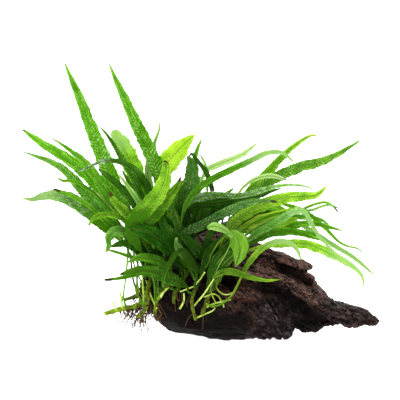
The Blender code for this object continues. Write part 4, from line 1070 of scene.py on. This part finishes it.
@functools.cache
def fine_wood(roughness):
    """The wood's surface, worked out once: its rings, raised along their normals by marks, lumps and torn
    fibres, and cut off at the floor. Gives the grid, its normals, a map of its painted light and shade on the
    crests and by part, and one of its redness and of where painted glints show, on its steep part and tail."""
    grid = wood_rings()
    normal = outward_normals(grid)
    points = grid.reshape(-1, 3)
    across, down = sketch_of(points)
    facing = np.clip(-normal.reshape(-1, 3)[:, 1] + 0.25, 0, 1)
    parts = wood_parts(across, down)
    _, steep, tail, level = parts
    marked, red, brown = wood_marks(across, down, facing, parts)
    torn = points + shake(points, 2.2, 9, (31, 32, 33)) + shake(points, 0.7, 2.6, (34, 35, 36))
    fibres = np.zeros(len(points))
    cracks = np.zeros(len(points))
    for part, (lean, full, seed) in zip(parts, FIBRES):
        coarse, middling, close, long = (
            grain(torn, lean, sizes, seed + added) for sizes, added in (COARSE, MIDDLING, CLOSE, LONG)
        )
        fibres += full * part * (0.5 * middling + 0.6 * close + 0.7 * long - 0.5 * coarse)
        cracks += full * part * (step(coarse, 0.3, 0.9) + 0.6 * step(middling, 0.45, 0.95))
    lumps = noise(points / (11 * MM), 5) + 0.7 * noise(points / (4.5 * MM), 6)
    pits = step(noise(torn / (np.array(PIT_SIZES) * MM), 8), 0.35, 0.7) * (1 - 0.7 * level)
    ragged = 1 + 0.9 * step(across, 284, 296) * step(down, 312, 324)  # rougher round the notch
    height = marked + roughness * ragged * (0.6 * fibres + 0.7 * lumps - 1.4 * cracks - 1.6 * pits)
    station, last = np.arange(len(grid)), len(grid)
    ends = step(station, 0, END_STATIONS[0]) * step(last - station, 0, END_STATIONS[1])
    height *= np.repeat(0.25 + 0.75 * ends, grid.shape[1])
    # painted light and shade: light on the crests, dark in the cracks and pits
    crest = np.clip(0.72 + 0.5 * fibres + 0.12 * lumps - 0.6 * cracks - 0.7 * pits, 0, 1)
    points = points + normal.reshape(-1, 3) * (height * MM)[:, None]
    points[:, 2] = np.maximum(points[:, 2], 0)
    fine = points.reshape(grid.shape)
    # where painted glints show: the steep part, and less on the tail
    painted_glint_zone = np.maximum(steep, 0.6 * tail)
    return fine, outward_normals(fine), np.stack([crest, brown], -1), np.stack([red, painted_glint_zone], -1)


def nearest_on_wood(points, settings):
    """For each point, the nearest of every third corner of the wood's grid, and the normal there."""
    grid, normal = fine_wood(settings.wood_roughness)[:2]
    corners = grid[::3, ::3].reshape(-1, 3)
    found = [
        np.argmin(((part[:, None] - corners[None]) ** 2).sum(-1), axis=1)
        for part in np.array_split(points, max(1, len(points) // 200))
    ]
    found = np.concatenate(found)
    return corners[found], normal[::3, ::3].reshape(-1, 3)[found]


def wood_front(across, down, settings):
    """Depths in mm of the wood's front at squares of the sketch: those of the nearest corners that face the
    eye, by their own squares."""
    grid, normal = fine_wood(settings.wood_roughness)[:2]
    corners = grid[::2, ::2].reshape(-1, 3)
    corners = corners[normal[::2, ::2].reshape(-1, 3)[:, 1] < 0.1]
    seen_across, seen_down = sketch_of(corners)
    apart = np.hypot(np.subtract.outer(across, seen_across), np.subtract.outer(down, seen_down))
    return corners[np.argmin(apart, axis=1), 1] / MM


# ---- the fronds ----
FOOT_DEPTH = 1.2 * MM  # how far a frond's foot is drawn into its stem
FOOT_SWELLING = 1.35
STALK_HALF_WIDTH = 0.7  # in mm
THIN_STATIONS = 18
LEAF_RINGS = (60, 230)  # the fewest and the most rings along a leaf
LEAF_THICKNESS = 0.19  # half of it, in mm
GROOVE = (0.22, 0.55)  # depth and half width of the groove over the midrib, in mm
KEEL = (0.5, 0.5)  # depth and half width of the midrib beneath, in mm
SMALLEST_HALF = 0.35 * MM  # half width that a stalk keeps
TIP_HALF = 0.22 * MM  # half width that the tip keeps
STALK_TO_BLADE = (1.0, 2.3)  # half widths between which a stalk becomes a blade, in mm
EDGE_WAVES = ((1, 0.47, 0.43), (0.6, 0.98, 1.07))  # (share, radians for each mm on the right and on the left)
NICK_LENGTH = 1.9  # in mm along the edges
VEIN_PITCH = (2.5, 0.09)  # mm between side veins, and how much more for each mm of half width
VEIN_SLANT = 0.75  # mm along for each mm away from the midrib
VEIN_SHIFT = 1.3  # mm by which the right side's veins lie nearer to the foot than the left side's
UNEVEN_VEINS, PUCKER_SIZES = (3.4, 4.2, 1.0), (1.9, 2.3, 1.0)  # sizes of their noise across and along, in mm
NICK_SEED, VEIN_SEED, PUCKER_SEED = 70, 71, 72
UPPER = np.linspace(-1, 1, 17)
ACROSS = np.concatenate([UPPER, UPPER[-2:0:-1]])  # once round a blade: over its upper face and back beneath
BENEATH = np.concatenate([np.zeros(17), np.ones(15)])
ON_MIDRIB = 8  # number of the upper face's middle corner


def blade_outline(share, stalk, form):
    """The blade's width along the frond: 0 on the stalk, then a power of a sine that is 1 at its widest."""
    widest, pointed = form
    blade = np.clip((share - stalk) / (1 - stalk), 0, 1)
    return np.sin(math.pi * blade ** (math.log(0.5) / math.log(widest))) ** pointed


def leaf_line(leaf_frame, leaf_step):
    """Even steps along a leaf: its middle line, its directions sideways and up, its half width, and how far
    along it they are in mm. The half width runs out over the last stretch to the tip."""
    spine, side, reach = leaf_frame
    count = int(np.clip(distances(spine)[-1] / (leaf_step * MM), *LEAF_RINGS))
    at = np.linspace(0, len(spine) - 1.0, count + 1)[:-1]
    rows = between(np.column_stack([spine, side, reach]), at)
    line, side, half = rows[:, :3], rows[:, 3:6], np.maximum(rows[:, 6], SMALLEST_HALF)
    knee = len(spine) - 2
    blunt = np.clip((reach[-3] - reach[-2]) / max(reach[-2], 1e-6), 0.4, 1.0)
    over_end = np.clip(at - knee, 0, 1)
    half = np.where(at > knee, np.maximum(reach[-2] * (1 - over_end) ** blunt, TIP_HALF), half)
    tangent = unit(np.gradient(line, axis=0))
    side = unit(side - tangent * np.sum(side * tangent, axis=1, keepdims=True))
    return line, side, np.cross(tangent, side), half, distances(line)[:, None] / MM


def leaf_rings(leaf_frame, puckers, rng, leaf_step):
    """Rings of a leaf round its middle line. Each is a thin lens on the blade and an oval on the stalk. The
    blade is lifted by a shallow cup, by waves along its edges, and by a pucker between each pair of side
    veins, the absolute value of a sine that slants from the midrib towards the tip, as high as smooth noise
    says. Gives the rings, the distance along in mm, how far each corner lies from the midrib in mm, its place
    in the row of veins, and from 0 to 1 how much each ring belongs to the blade."""
    line, side, over, half, s = leaf_line(leaf_frame, leaf_step)
    x = ACROSS[None]
    count, shape = len(line) * x.size, (len(line), x.size)
    wide = half[:, None] / MM
    blade = step(wide, *STALK_TO_BLADE)
    phase = rng.uniform(0, 2 * math.pi, 8)
    right = x > 0
    beside = np.broadcast_to(x * wide, shape)
    apart = np.full(count, 9 * phase[0])
    here = np.column_stack([beside.ravel(), np.repeat(s[:, 0], x.size), apart])
    edge_wave = 0
    for (share, on_right, on_left), (start, other) in zip(EDGE_WAVES, (phase[:2], phase[2:4])):
        rightward, leftward = np.sin(s * on_right + start), np.sin(s * on_left + other)
        edge_wave += share * np.where(right, rightward, leftward)
    edge = np.tile(np.where(ACROSS > 0, 9.0, 0.0), len(line))
    sided = np.column_stack([edge, here[:, 1] / NICK_LENGTH, apart])
    nicks = noise(sided, NICK_SEED).reshape(shape)
    outline = 1 + blade * (0.05 * edge_wave + (0.03 + 0.04 * min(puckers, 1)) * nicks)
    pitch = VEIN_PITCH[0] + VEIN_PITCH[1] * wide
    uneven = noise(here / UNEVEN_VEINS, VEIN_SEED).reshape(shape)
    veins = (s - VEIN_SLANT * np.abs(x) * wide + VEIN_SHIFT * right) / pitch + 0.25 * uneven
    heights = 0.8 + 0.7 * noise(here / PUCKER_SIZES, PUCKER_SEED).reshape(shape)
    window = (1 - bell(x * wide, 0.9)) * (1 - np.abs(x) ** 6)
    between_veins = np.abs(np.sin(math.pi * veins)) - 0.55
    pucker = puckers * np.clip(wide / 4.5, 0.3, 1.2) * between_veins * heights * window
    cup = (0.10 + 0.05 * np.sin(phase[6])) * wide * x**2
    waves = 0.08 * wide * edge_wave * np.abs(x) ** 1.6
    thin = LEAF_THICKNESS * (1 - x**8)
    groove, keel = (depth * bell(x * wide, half_width) for depth, half_width in (GROOVE, KEEL))
    lens = np.where(BENEATH == 0, thin - groove, -thin - keel)
    round_it = np.sqrt(np.maximum(1 - x**2, 0)) * np.clip(wide / 0.9, 0.3, 1.3)
    oval = np.where(BENEATH == 0, 0.62, -0.8) * round_it
    lift = blade * (lens + pucker + cup + waves) + (1 - blade) * oval
    rings = line[:, None] + side[:, None] * (x * outline * half[:, None])[..., None]
    rings = rings + over[:, None] * (lift * MM)[..., None]
    return rings, s[:, 0], beside, veins, blade


def painted_crown_shade(points):
    """How deep the painted shade is among the crowded frond bases: a bell round the crown's middle."""
    offset = (points - CROWN_MIDDLE) / CROWN_REACH
    return DEEPEST_PAINTED_SHADE * np.exp(-np.sum(offset**2, axis=-1))


def add_leaf(name, leaf_frame, look, slot, seed, settings, replaced=()):
    """Adds one leaf with its maps: its place in the row of veins and how deeply it is puckered, its place in
    mm beside and along the midrib, its tone and how deep the painted shade is among the crowded bases, how
    far it is browned (above 0) or bleached (below 0), and whether it is the underside (1) or has a painted
    silvery sheen (below 0)."""
    rng = np.random.default_rng(seed)
    puckers = look.puckers * settings.puckers
    rings, s, beside, veins, blade = leaf_rings(leaf_frame, puckers, rng, settings.leaf_step)
    count, sides = rings.shape[:2]
    share = s[:, None] / s[-1]
    flat = rings.reshape(-1, 3)
    # lighter towards the tip: partly the leaf's own colour, partly painted light and shade along it
    tones = look.tone + rng.uniform(-0.06, 0.06) + look.rise * (np.minimum(share, 0.78) - 0.62)
    tones = tones + 0.35 * (1 - blade) + 0.3 * blade * np.abs(ACROSS) ** 6
    # share of the painted shade among the crowded bases that this leaf takes
    painted_shade_share = 1.0 if slot != "frond_pale" else PALE_PAINTED_SHADE[int(look.tone <= 0)]
    ragged = share + 0.02 * noise(flat / (1.6 * MM), seed).reshape(count, sides)
    browned = (ragged > 1 - look.brown) * (look.brown > 0)
    bleached = step(ragged, look.bleached - 0.08, look.bleached + 0.08) * (look.bleached < 1)
    # painted silvery sheen from a share of the length on
    painted_sheen_share = look.painted_sheen * step(share, look.painted_sheen_from - 0.1, look.painted_sheen_from + 0.05)
    pairs = {
        "veins": (veins, look.puckers * blade * np.clip(1.5 - 1.2 * share, 0.3, 1)),
        "grain": (beside, s[:, None] + rng.uniform(0, 500)),
        "tone": (tones, painted_crown_shade(flat).reshape(count, sides) * painted_shade_share),
        "marks": (0.9 * browned - bleached, np.where(BENEATH == 0, -painted_sheen_share, 1.0)),
    }
    maps = {}
    for title, (first, second) in pairs.items():
        both = paired(first, second, (1, count, sides))
        maps[title] = per_corner(both, both[0, 0, 0], both[0, -1, ON_MIDRIB])
    material = bpy.data.materials["leaf_" + slot.removeprefix("frond_")]
    tip = leaf_frame[0][-1]
    add_piece(name, closed_lofts(rings[None], last=tip[None]), material, maps, replaced)


def rooted(leaf_frame):
    """A frond's frame with its foot drawn into its stem and a little swollen."""
    spine, side, reach = leaf_frame
    foot = spine[0] - unit(spine[1] - spine[0]) * FOOT_DEPTH
    return np.vstack([foot, spine[1:]]), side, np.append(reach[0] * FOOT_SWELLING, reach[1:])


def thin_frond_frame(frond):
    """Middle line, sideways directions and half widths of a frond that starts on a stem. The route's depth
    follows a parabola through three values. The blade is turned from the sketch by an angle where it is
    widest, and twists evenly."""
    centre, radius = upright_stem("rhizome_" + frond.stem)
    at = frond.share * (len(centre) - 1)
    start = between(centre, np.array([at]))[0]
    route = np.array(frond.route, float)
    t = np.linspace(0, 1, len(route))
    a, b, c = frond.depths
    depth = a + (4 * b - 3 * a - c) * t + 2 * (a - 2 * b + c) * t**2
    places = place(route[:, 0], route[:, 1], depth)
    lead = unit(places[0] - start)
    foot = [start + lead * radius[int(at)] * 0.6, start + lead * 6 * MM]
    spine = even_route([*foot, *places], THIN_STATIONS)
    share = np.linspace(0, 1, THIN_STATIONS)
    wide = blade_outline(share, frond.stalk, frond.form)
    tangent, side, over = (found[0] for found in frames_along(spine[None], FORWARD + 0.01 * RIGHTWARD))
    widest = int(np.argmax(wide))
    flat = unit(np.cross(tangent[widest], FORWARD))
    offset = math.atan2(flat @ over[widest], flat @ side[widest])
    roll = offset + math.radians(frond.turn) + math.radians(frond.twist) * (share - share[widest])
    side = side * np.cos(roll)[:, None] + over * np.sin(roll)[:, None]
    reach = (STALK_HALF_WIDTH + (frond.half_width - STALK_HALF_WIDTH) * wide) * MM
    reach[-1] = 0
    return spine, side, reach


# ---- the settings ----
def colour_property(name, value, description):
    return FloatVectorProperty(
        name=name, description=description, default=value, size=3, min=0.0, max=1.0, subtype="COLOR"
    )


class FernLeafSettings(bpy.types.PropertyGroup):
    """Sizes and colours of the leaves."""

    leaf_step: FloatProperty(
        name="Leaf step", description="Millimetres between rings along a leaf", default=0.8, min=0.3
    )
    puckers: FloatProperty(name="Puckers", description="Share of the full height of the puckers", default=1.0)
    green_dark: colour_property("Green, veins", (0.040, 0.145, 0.003), "Green leaves, in their veins")
    green_light: colour_property("Green, skin", (0.230, 0.540, 0.025), "Green leaves, between their veins")
    bright_dark: colour_property("Bright, veins", (0.038, 0.155, 0.002), "Bright leaves, in their veins")
    bright_light: colour_property("Bright, skin", (0.680, 0.880, 0.070), "Bright leaves, between their veins")
    dark_dark: colour_property("Dark, veins", (0.008, 0.046, 0.0006), "Dark leaves, in their veins")
    dark_light: colour_property("Dark, skin", (0.062, 0.235, 0.008), "Dark leaves, between their veins")
    pale_dark: colour_property("Pale, veins", (0.060, 0.200, 0.012), "Pale leaves, in their veins")
    pale_light: colour_property("Pale, skin", (0.430, 0.680, 0.160), "Pale leaves, between their veins")
    shine_through: colour_property("Shine", (0.380, 0.720, 0.010), "Light that comes through a leaf")


class FernWoodSettings(bpy.types.PropertyGroup):
    """Relief and colours of the driftwood."""

    wood_roughness: FloatProperty(name="Relief", description="Share of the relief's full height", default=1.0)
    # also the colour of the painted shade in the hollows, cracks and pits and on the level base
    wood_black: colour_property("Hollows", (0.0042, 0.0028, 0.0024), "Wet wood in the hollows")
    wood_brown: colour_property("Ridges", (0.145, 0.092, 0.074), "Brown wood on the ridges")
    wood_red: colour_property("Burl", (0.190, 0.052, 0.030), "Reddish wood on the burl and along the rib")


class FernStemSettings(bpy.types.PropertyGroup):
    """Creeping stems and hair roots."""

    stem_green: colour_property("Stem", (0.165, 0.270, 0.008), "Creeping stems")
    stem_side: colour_property("Side stem", (0.400, 0.530, 0.110), "Bare side stems and stalks")
    stem_brown: colour_property("Scars", (0.040, 0.034, 0.008), "Scars and scales of the stems")
    stem_cut: colour_property("Cut end", (0.420, 0.520, 0.120), "Cut ends of the stems")
    root_dark: colour_property("Root, old", (0.012, 0.007, 0.0045), "Old hair roots")
    root_light: colour_property("Root, young", (0.130, 0.070, 0.030), "Young hair roots")
    root_share: FloatProperty(name="Roots", description="Share of the full number", default=1.0, min=0.0)
    root_radius: FloatProperty(
        name="Root radius", description="Radius of a hair root", default=0.00033, precision=5, unit="LENGTH"
    )


class FernStageSettings(bpy.types.PropertyGroup):
    """Floor, light and camera."""

    floor_colour: colour_property("Floor", (0.93, 0.93, 0.93), "Plain pale floor")
    floor_glow: FloatProperty(name="Floor glow", description="Light of the floor's own", default=1.0)
    key_power: FloatProperty(name="Key", description="Light in front, above", default=22.0, unit="POWER")
    back_power: FloatProperty(name="Back", description="Light behind, above", default=34.0, unit="POWER")
    sky: FloatProperty(name="Surround", description="Brightness of the white surround", default=0.8)


# ---- the operators ----
STEM_SIDES, STALK_SIDES, ROOT_SIDES = 20, 12, 5
STEM_RING = 0.7 * MM  # between the rings of a creeping stem
JOINT_SPACING = 6.5  # mm between the swollen joints of a creeping stem
JOINT_SWELLING, STEM_BUMPS, STALK_BUMPS = 0.10, 0.09, 0.08  # shares of the radius
STALK_STATIONS, ROOT_STATIONS = 40, 14
ROOT_REST = 0.3 * MM  # height at which a root lies on the wood or the floor
ROOT_NEAR = 9 * MM  # nearer than this, a root is drawn to the wood
ROOT_CLING = 0.55  # share of its height over the wood that it loses there
ROOT_SPREAD, ROOT_HANG = (0.5, 0.4, 0.3), (0, -0.15, -1.1)  # of the directions that roots start in
SHORTEST_ROOT = 0.35  # share of the longest root's length
ROOT_WANDER = 0.08  # share of its length by which a root bends
ROOT_CURL = 0.2  # share of that by which it curls as well
ROOT_THINNING = 0.45  # share of its radius that a root loses towards its end
STEM_BUMP_SEED, STALK_BUMP_SEED, ROOT_SEED, FROND_SEED, THIN_FROND_SEED = 60, 90, 300, 1000, 2000
FLOOR_SIDE, FLOOR_FRONT, FLOOR_TOP = 4.0, -3.0, 4.0
FLOOR_BEND, BEND_RADIUS = 1.6, 0.9  # where the floor starts to bend up into a backdrop
FLOOR_GAP = 0.0002


def nodes_named(start):
    return [name for name in sorted(frame["nodes"]) if name.startswith(start)]


class FERN_OT_driftwood(bpy.types.Operator):
    """Add the lump of driftwood with its ridges, hollows and grain"""

    bl_idname = "fern.driftwood"
    bl_label = "Driftwood"

    def execute(self, context):
        settings = context.scene.fern_wood
        grid, _, crests, warmth = fine_wood(settings.wood_roughness)
        shape = (1, *grid.shape[:2], 2)
        maps = {
            "relief": per_corner(crests.reshape(shape), (0.5, 0.5), (0.5, 0.5)),
            "warmth": per_corner(warmth.reshape(shape), (0, 0), (0, 0)),
        }
        material = wood_material(settings.wood_black, settings.wood_brown, settings.wood_red)
        add_piece("driftwood_skin", closed_lofts(grid[None]), material, maps, ["driftwood"])
        return {"FINISHED"}


class FERN_OT_rhizomes(bpy.types.Operator):
    """Add the creeping stems, with their swollen joints, scars and cut ends"""

    bl_idname = "fern.rhizomes"
    bl_label = "Creeping stems"

    def execute(self, context):
        settings = context.scene.fern_stem
        material = stem_material("creeping_stem", settings.stem_green, settings.stem_brown, settings.stem_cut)
        for number, node in enumerate(nodes_named("rhizome")):
            centre, radius = stem_frame(node)
            length = distances(centre)[-1]
            count = int(length / STEM_RING)
            rows = between(np.column_stack([centre, radius]), np.linspace(0, len(centre) - 1, count))
            s = np.linspace(0, length, count)[:, None] / MM
            round_it = [np.tile(wave(turns(STEM_SIDES)), count) * 1.2 for wave in (np.cos, np.sin)]
            seeds = np.column_stack([np.repeat(s[:, 0], STEM_SIDES) / 3, *round_it])
            bumps = noise(seeds, STEM_BUMP_SEED + number)
            joint = np.abs(np.sin(math.pi * s / JOINT_SPACING + number)) ** 3
            shape = 1 + JOINT_SWELLING * joint + STEM_BUMPS * bumps.reshape(count, STEM_SIDES)
            ends = np.clip(np.minimum(s, s[-1] - s) / 0.6, 0, 1) * 0.12 + 0.88
            surface = closed_lofts(tubes(rows[None, :, :3], rows[None, :, 3:4] * shape * ends, STEM_SIDES))
            # painted shade: darker high up under the fronds, and on the stems listed in STEM_SHADES
            high = step(rows[:, 2:3], *STEM_DARKENS)
            painted_shade_share = np.clip(STEM_SHADES.get(node, 0.0) + 0.7 * high, 0, 0.85)
            stem_map = paired(s, step(-s, -0.5, 0.2) * (1 - high) - painted_shade_share, (1, count, STEM_SIDES))
            maps = {"stem": per_corner(stem_map, stem_map[0, 0, 0], stem_map[0, -1, 0])}
            add_piece(f"{node}_skin", surface, material, maps, [node])
        return {"FINISHED"}


class FERN_OT_side_stems(bpy.types.Operator):
    """Add the bare stalks and side stems at the foot of the fern"""

    bl_idname = "fern.side_stems"
    bl_label = "Side stems"

    def execute(self, context):
        settings = context.scene.fern_stem
        material = stem_material("side_stem", settings.stem_side, settings.stem_green, settings.stem_cut)
        for number, (thick, thin, route) in enumerate([*CLINGING_STALKS, *FREE_STALKS]):
            across, down, depth = np.array(route, float).T
            if number < len(CLINGING_STALKS):
                depth = wood_front(across, down, context.scene.fern_wood) - depth
            path = even_route(place(across, down, depth), STALK_STATIONS)
            radii = np.linspace(thick, thin, STALK_STATIONS) * MM
            radii = radii * (1 + STALK_BUMPS * noise(path / (2.2 * MM), STALK_BUMP_SEED + number))
            surface = closed_lofts(tubes(path[None], radii[None], STALK_SIDES))
            s = np.linspace(0, 3, STALK_STATIONS)[:, None]
            stem_map = paired(s, 0.0, (1, STALK_STATIONS, STALK_SIDES))
            maps = {"stem": per_corner(stem_map, (0, 0), (3, 0))}
            add_piece(f"side_stem_{number + 1}", surface, material, maps)
        return {"FINISHED"}


def root_paths(start, longest, rng, wood_settings):
    """Middle lines of hair roots: each hangs down and outwards from its start, bends as a sine and curls as
    a faster one. Near the wood it is pushed out of it or drawn to it, smoothly along its length. Gives the
    points, and how far along each line they are, from 0 to 1."""
    count = len(start)
    heading = unit(rng.normal(0, 1, (count, 3)) * ROOT_SPREAD + ROOT_HANG)
    length = rng.uniform(SHORTEST_ROOT, 1, count) * longest * MM
    t = np.linspace(0, 1, ROOT_STATIONS)
    wander = rng.normal(0, 1, (count, 2, 3)) * ROOT_WANDER
    bend = wander[:, :1] * np.sin(math.pi * t)[None, :, None]
    curl = wander[:, 1:] * np.sin(4 * math.pi * t)[None, :, None] * ROOT_CURL
    paths = start[:, None] + (heading[:, None] * t[None, :, None] + bend + curl) * length[:, None, None]
    flat = paths.reshape(-1, 3)
    near, normal = nearest_on_wood(flat, wood_settings)
    height = np.sum((flat - near) * normal, axis=1)
    close = np.linalg.norm(flat - near, axis=1) < ROOT_NEAR
    push = np.where(close & (height < ROOT_REST), ROOT_REST - height, 0)
    pull = np.where(close & (height > ROOT_REST), -(height - ROOT_REST) * ROOT_CLING, 0)
    shift = (normal * (push + pull)[:, None]).reshape(paths.shape)
    for _ in range(2):
        shift[:, 1:-1] = (shift[:, :-2] + 2 * shift[:, 1:-1] + shift[:, 2:]) / 4
    paths = paths + shift
    paths[:, 0] = start
    paths[..., 2] = np.maximum(paths[..., 2], ROOT_REST)
    return paths, t


class FERN_OT_hair_roots(bpy.types.Operator):
    """Add the fine brown roots that hang from the creeping stems and cling to the wood"""

    bl_idname = "fern.hair_roots"
    bl_label = "Hair roots"

    def execute(self, context):
        settings = context.scene.fern_stem
        material = root_material(settings.root_dark, settings.root_light)
        for number, node in enumerate(nodes_named("rhizome")):
            rng = np.random.default_rng(ROOT_SEED + number)
            centre, _ = upright_stem(node)
            full, low, high, longest = HAIR_ROOTS.get(node, ORDINARY_ROOTS)
            count = int(full * settings.root_share)
            start = between(centre, rng.uniform(low, high, count) * (len(centre) - 1))
            paths, t = root_paths(start, longest, rng, context.scene.fern_wood)
            radii = settings.root_radius * rng.uniform(0.7, 1.4, (count, 1)) * (1 - ROOT_THINNING * t[None])
            surface = closed_lofts(tubes(paths, radii, ROOT_SIDES))
            tone = rng.uniform(0, 1, (count, 1, 1))
            root_map = paired(tone, t[None, :, None], (count, ROOT_STATIONS, ROOT_SIDES))
            maps = {"root": per_corner(root_map, root_map[:, 0, 0], root_map[:, -1, 0])}
            name = "hair_roots" + node.removeprefix("rhizome")
            add_piece(name, surface, material, maps, ROOT_NODES.get(node, []))
        return {"FINISHED"}


class FERN_OT_fronds(bpy.types.Operator):
    """Add the main fronds, puckered between their veins and wavy along their edges"""

    bl_idname = "fern.fronds"
    bl_label = "Fronds"

    def execute(self, context):
        settings = context.scene.fern_leaf
        for tint, (rough, shining, painted_sunlit, streaked) in LEAF_TINTS.items():
            dark, light = (getattr(settings, f"{tint}_{end}") for end in ("dark", "light"))
            through = shade(settings.shine_through, shining)
            leaf_material(f"leaf_{tint}", dark, light, painted_sunlit, through, rough, streaked)
        for number, node in enumerate(nodes_named("frond")):
            look = FROND_LOOKS.get(node.removeprefix("frond_"), ORDINARY_LOOK)
            leaf, seed = rooted(frond_frame(node)), FROND_SEED + number
            add_leaf(f"{node}_leaf", leaf, look, SLOT_OF[node], seed, settings, [node])
        return {"FINISHED"}


class FERN_OT_thin_fronds(bpy.types.Operator):
    """Add the thinner fronds that fill the crown"""

    bl_idname = "fern.thin_fronds"
    bl_label = "Thin fronds"

    def execute(self, context):
        settings = context.scene.fern_leaf
        for number, (name, frond) in enumerate(THIN_FRONDS.items()):
            leaf, seed = thin_frond_frame(frond), THIN_FROND_SEED + number
            add_leaf(f"frond_{name}", leaf, frond.look, f"frond_{frond.tint}", seed, settings)
        return {"FINISHED"}


def floor_surface():
    """Corners and faces of the floor, which bends up into a backdrop along a quarter circle."""
    turn = np.linspace(0, math.pi / 2, 16)
    bend = BEND_RADIUS * np.column_stack([np.sin(turn), 1 - np.cos(turn)]) + (FLOOR_BEND, 0)
    profile = np.vstack([[FLOOR_FRONT, 0.0], bend, [FLOOR_BEND + BEND_RADIUS, FLOOR_TOP]])
    sides = [np.column_stack([np.full(len(profile), x), profile]) for x in (-FLOOR_SIDE, FLOOR_SIDE)]
    low = np.arange(len(profile) - 1) * 2
    faces = np.column_stack([low, low + 1, low + 3, low + 2]).tolist()
    return np.stack(sides, 1).reshape(-1, 3) - (0, 0, FLOOR_GAP), faces


class FERN_OT_stage(bpy.types.Operator):
    """Add the floor, the lights, the white surround and the camera"""

    bl_idname = "fern.stage"
    bl_label = "Stage"

    def execute(self, context):
        settings = context.scene.fern_stage
        scene = context.scene
        scene.view_settings.view_transform = "Standard"
        mesh = bpy.data.meshes.new("floor")
        corners, faces = floor_surface()
        mesh.from_pydata(corners, [], faces)
        mesh.shade_smooth()
        s = Surface("pale_floor")
        pale = s.coats(settings.floor_colour, (s.spots(2.0, 2.0) * 0.1, shade(settings.floor_colour, 0.97)))
        glow = {"Emission Color": (1, 1, 1, 1), "Emission Strength": settings.floor_glow}
        mesh.materials.append(s.finish(s.skin(pale, 0.9, 0.1, **glow)))
        floor = bpy.data.objects.new("floor", mesh)
        scene.collection.objects.link(floor)
        world = bpy.data.worlds.new("white_surround")
        world.use_nodes = True
        surround = world.node_tree.nodes["Background"].inputs
        surround["Color"].default_value = (1, 1, 1, 1)
        surround["Strength"].default_value = settings.sky
        scene.world = world
        for name, spot, size, power in (
            ("key_light", (-0.7, -1.1, 1.5), 1.2, settings.key_power),
            ("back_light", (0.25, 1.1, 1.5), 1.4, settings.back_power),
        ):
            lamp = bpy.data.lights.new(name, "AREA")
            lamp.size = size
            lamp.energy = power
            light = bpy.data.objects.new(name, lamp)
            light.location = spot
            light.rotation_euler = (Vector((0, 0, 0.1)) - Vector(spot)).to_track_quat("-Z", "Y").to_euler()
            scene.collection.objects.link(light)
        lens = bpy.data.cameras.new("front_view")
        lens.sensor_width = SENSOR
        lens.lens = SENSOR * VIEW_DISTANCE / (2 * SKETCH_MIDDLE * SQUARE)
        camera = bpy.data.objects.new("front_view", lens)
        camera.location = EYE
        camera.rotation_euler = Vector(FORWARD).to_track_quat("-Z", "Y").to_euler()
        scene.collection.objects.link(camera)
        scene.camera = camera
        return {"FINISHED"}


class FERN_PT_panel(bpy.types.Panel):
    """Lists the settings and the pieces"""

    bl_idname = "FERN_PT_panel"
    bl_label = "Java Fern"
    bl_space_type = "VIEW_3D"
    bl_region_type = "UI"
    bl_category = "Java Fern"

    def draw(self, context):
        for group, (_, operators) in GROUPS.items():
            box = self.layout.box()
            settings = getattr(context.scene, group)
            for key in settings.__annotations__:
                box.prop(settings, key)
            for operator in operators:
                box.operator(operator.bl_idname)


GROUPS = {
    "fern_wood": (FernWoodSettings, [FERN_OT_driftwood]),
    "fern_stem": (FernStemSettings, [FERN_OT_rhizomes, FERN_OT_side_stems, FERN_OT_hair_roots]),
    "fern_leaf": (FernLeafSettings, [FERN_OT_fronds, FERN_OT_thin_fronds]),
    "fern_stage": (FernStageSettings, [FERN_OT_stage]),
}
OPERATORS = [operator for _, operators in GROUPS.values() for operator in operators]
CLASSES = [*(settings for settings, _ in GROUPS.values()), *OPERATORS, FERN_PT_panel]


def register():
    for made in CLASSES:
        bpy.utils.register_class(made)
    for name, (settings, _) in GROUPS.items():
        setattr(bpy.types.Scene, name, PointerProperty(type=settings))


def unregister():
    for name in GROUPS:
        delattr(bpy.types.Scene, name)
    for made in reversed(CLASSES):
        bpy.utils.unregister_class(made)


def main():
    register()
    for operator in OPERATORS:
        group, name = operator.bl_idname.split(".")
        getattr(getattr(bpy.ops, group), name)()


if __name__ == "__main__":
    main()
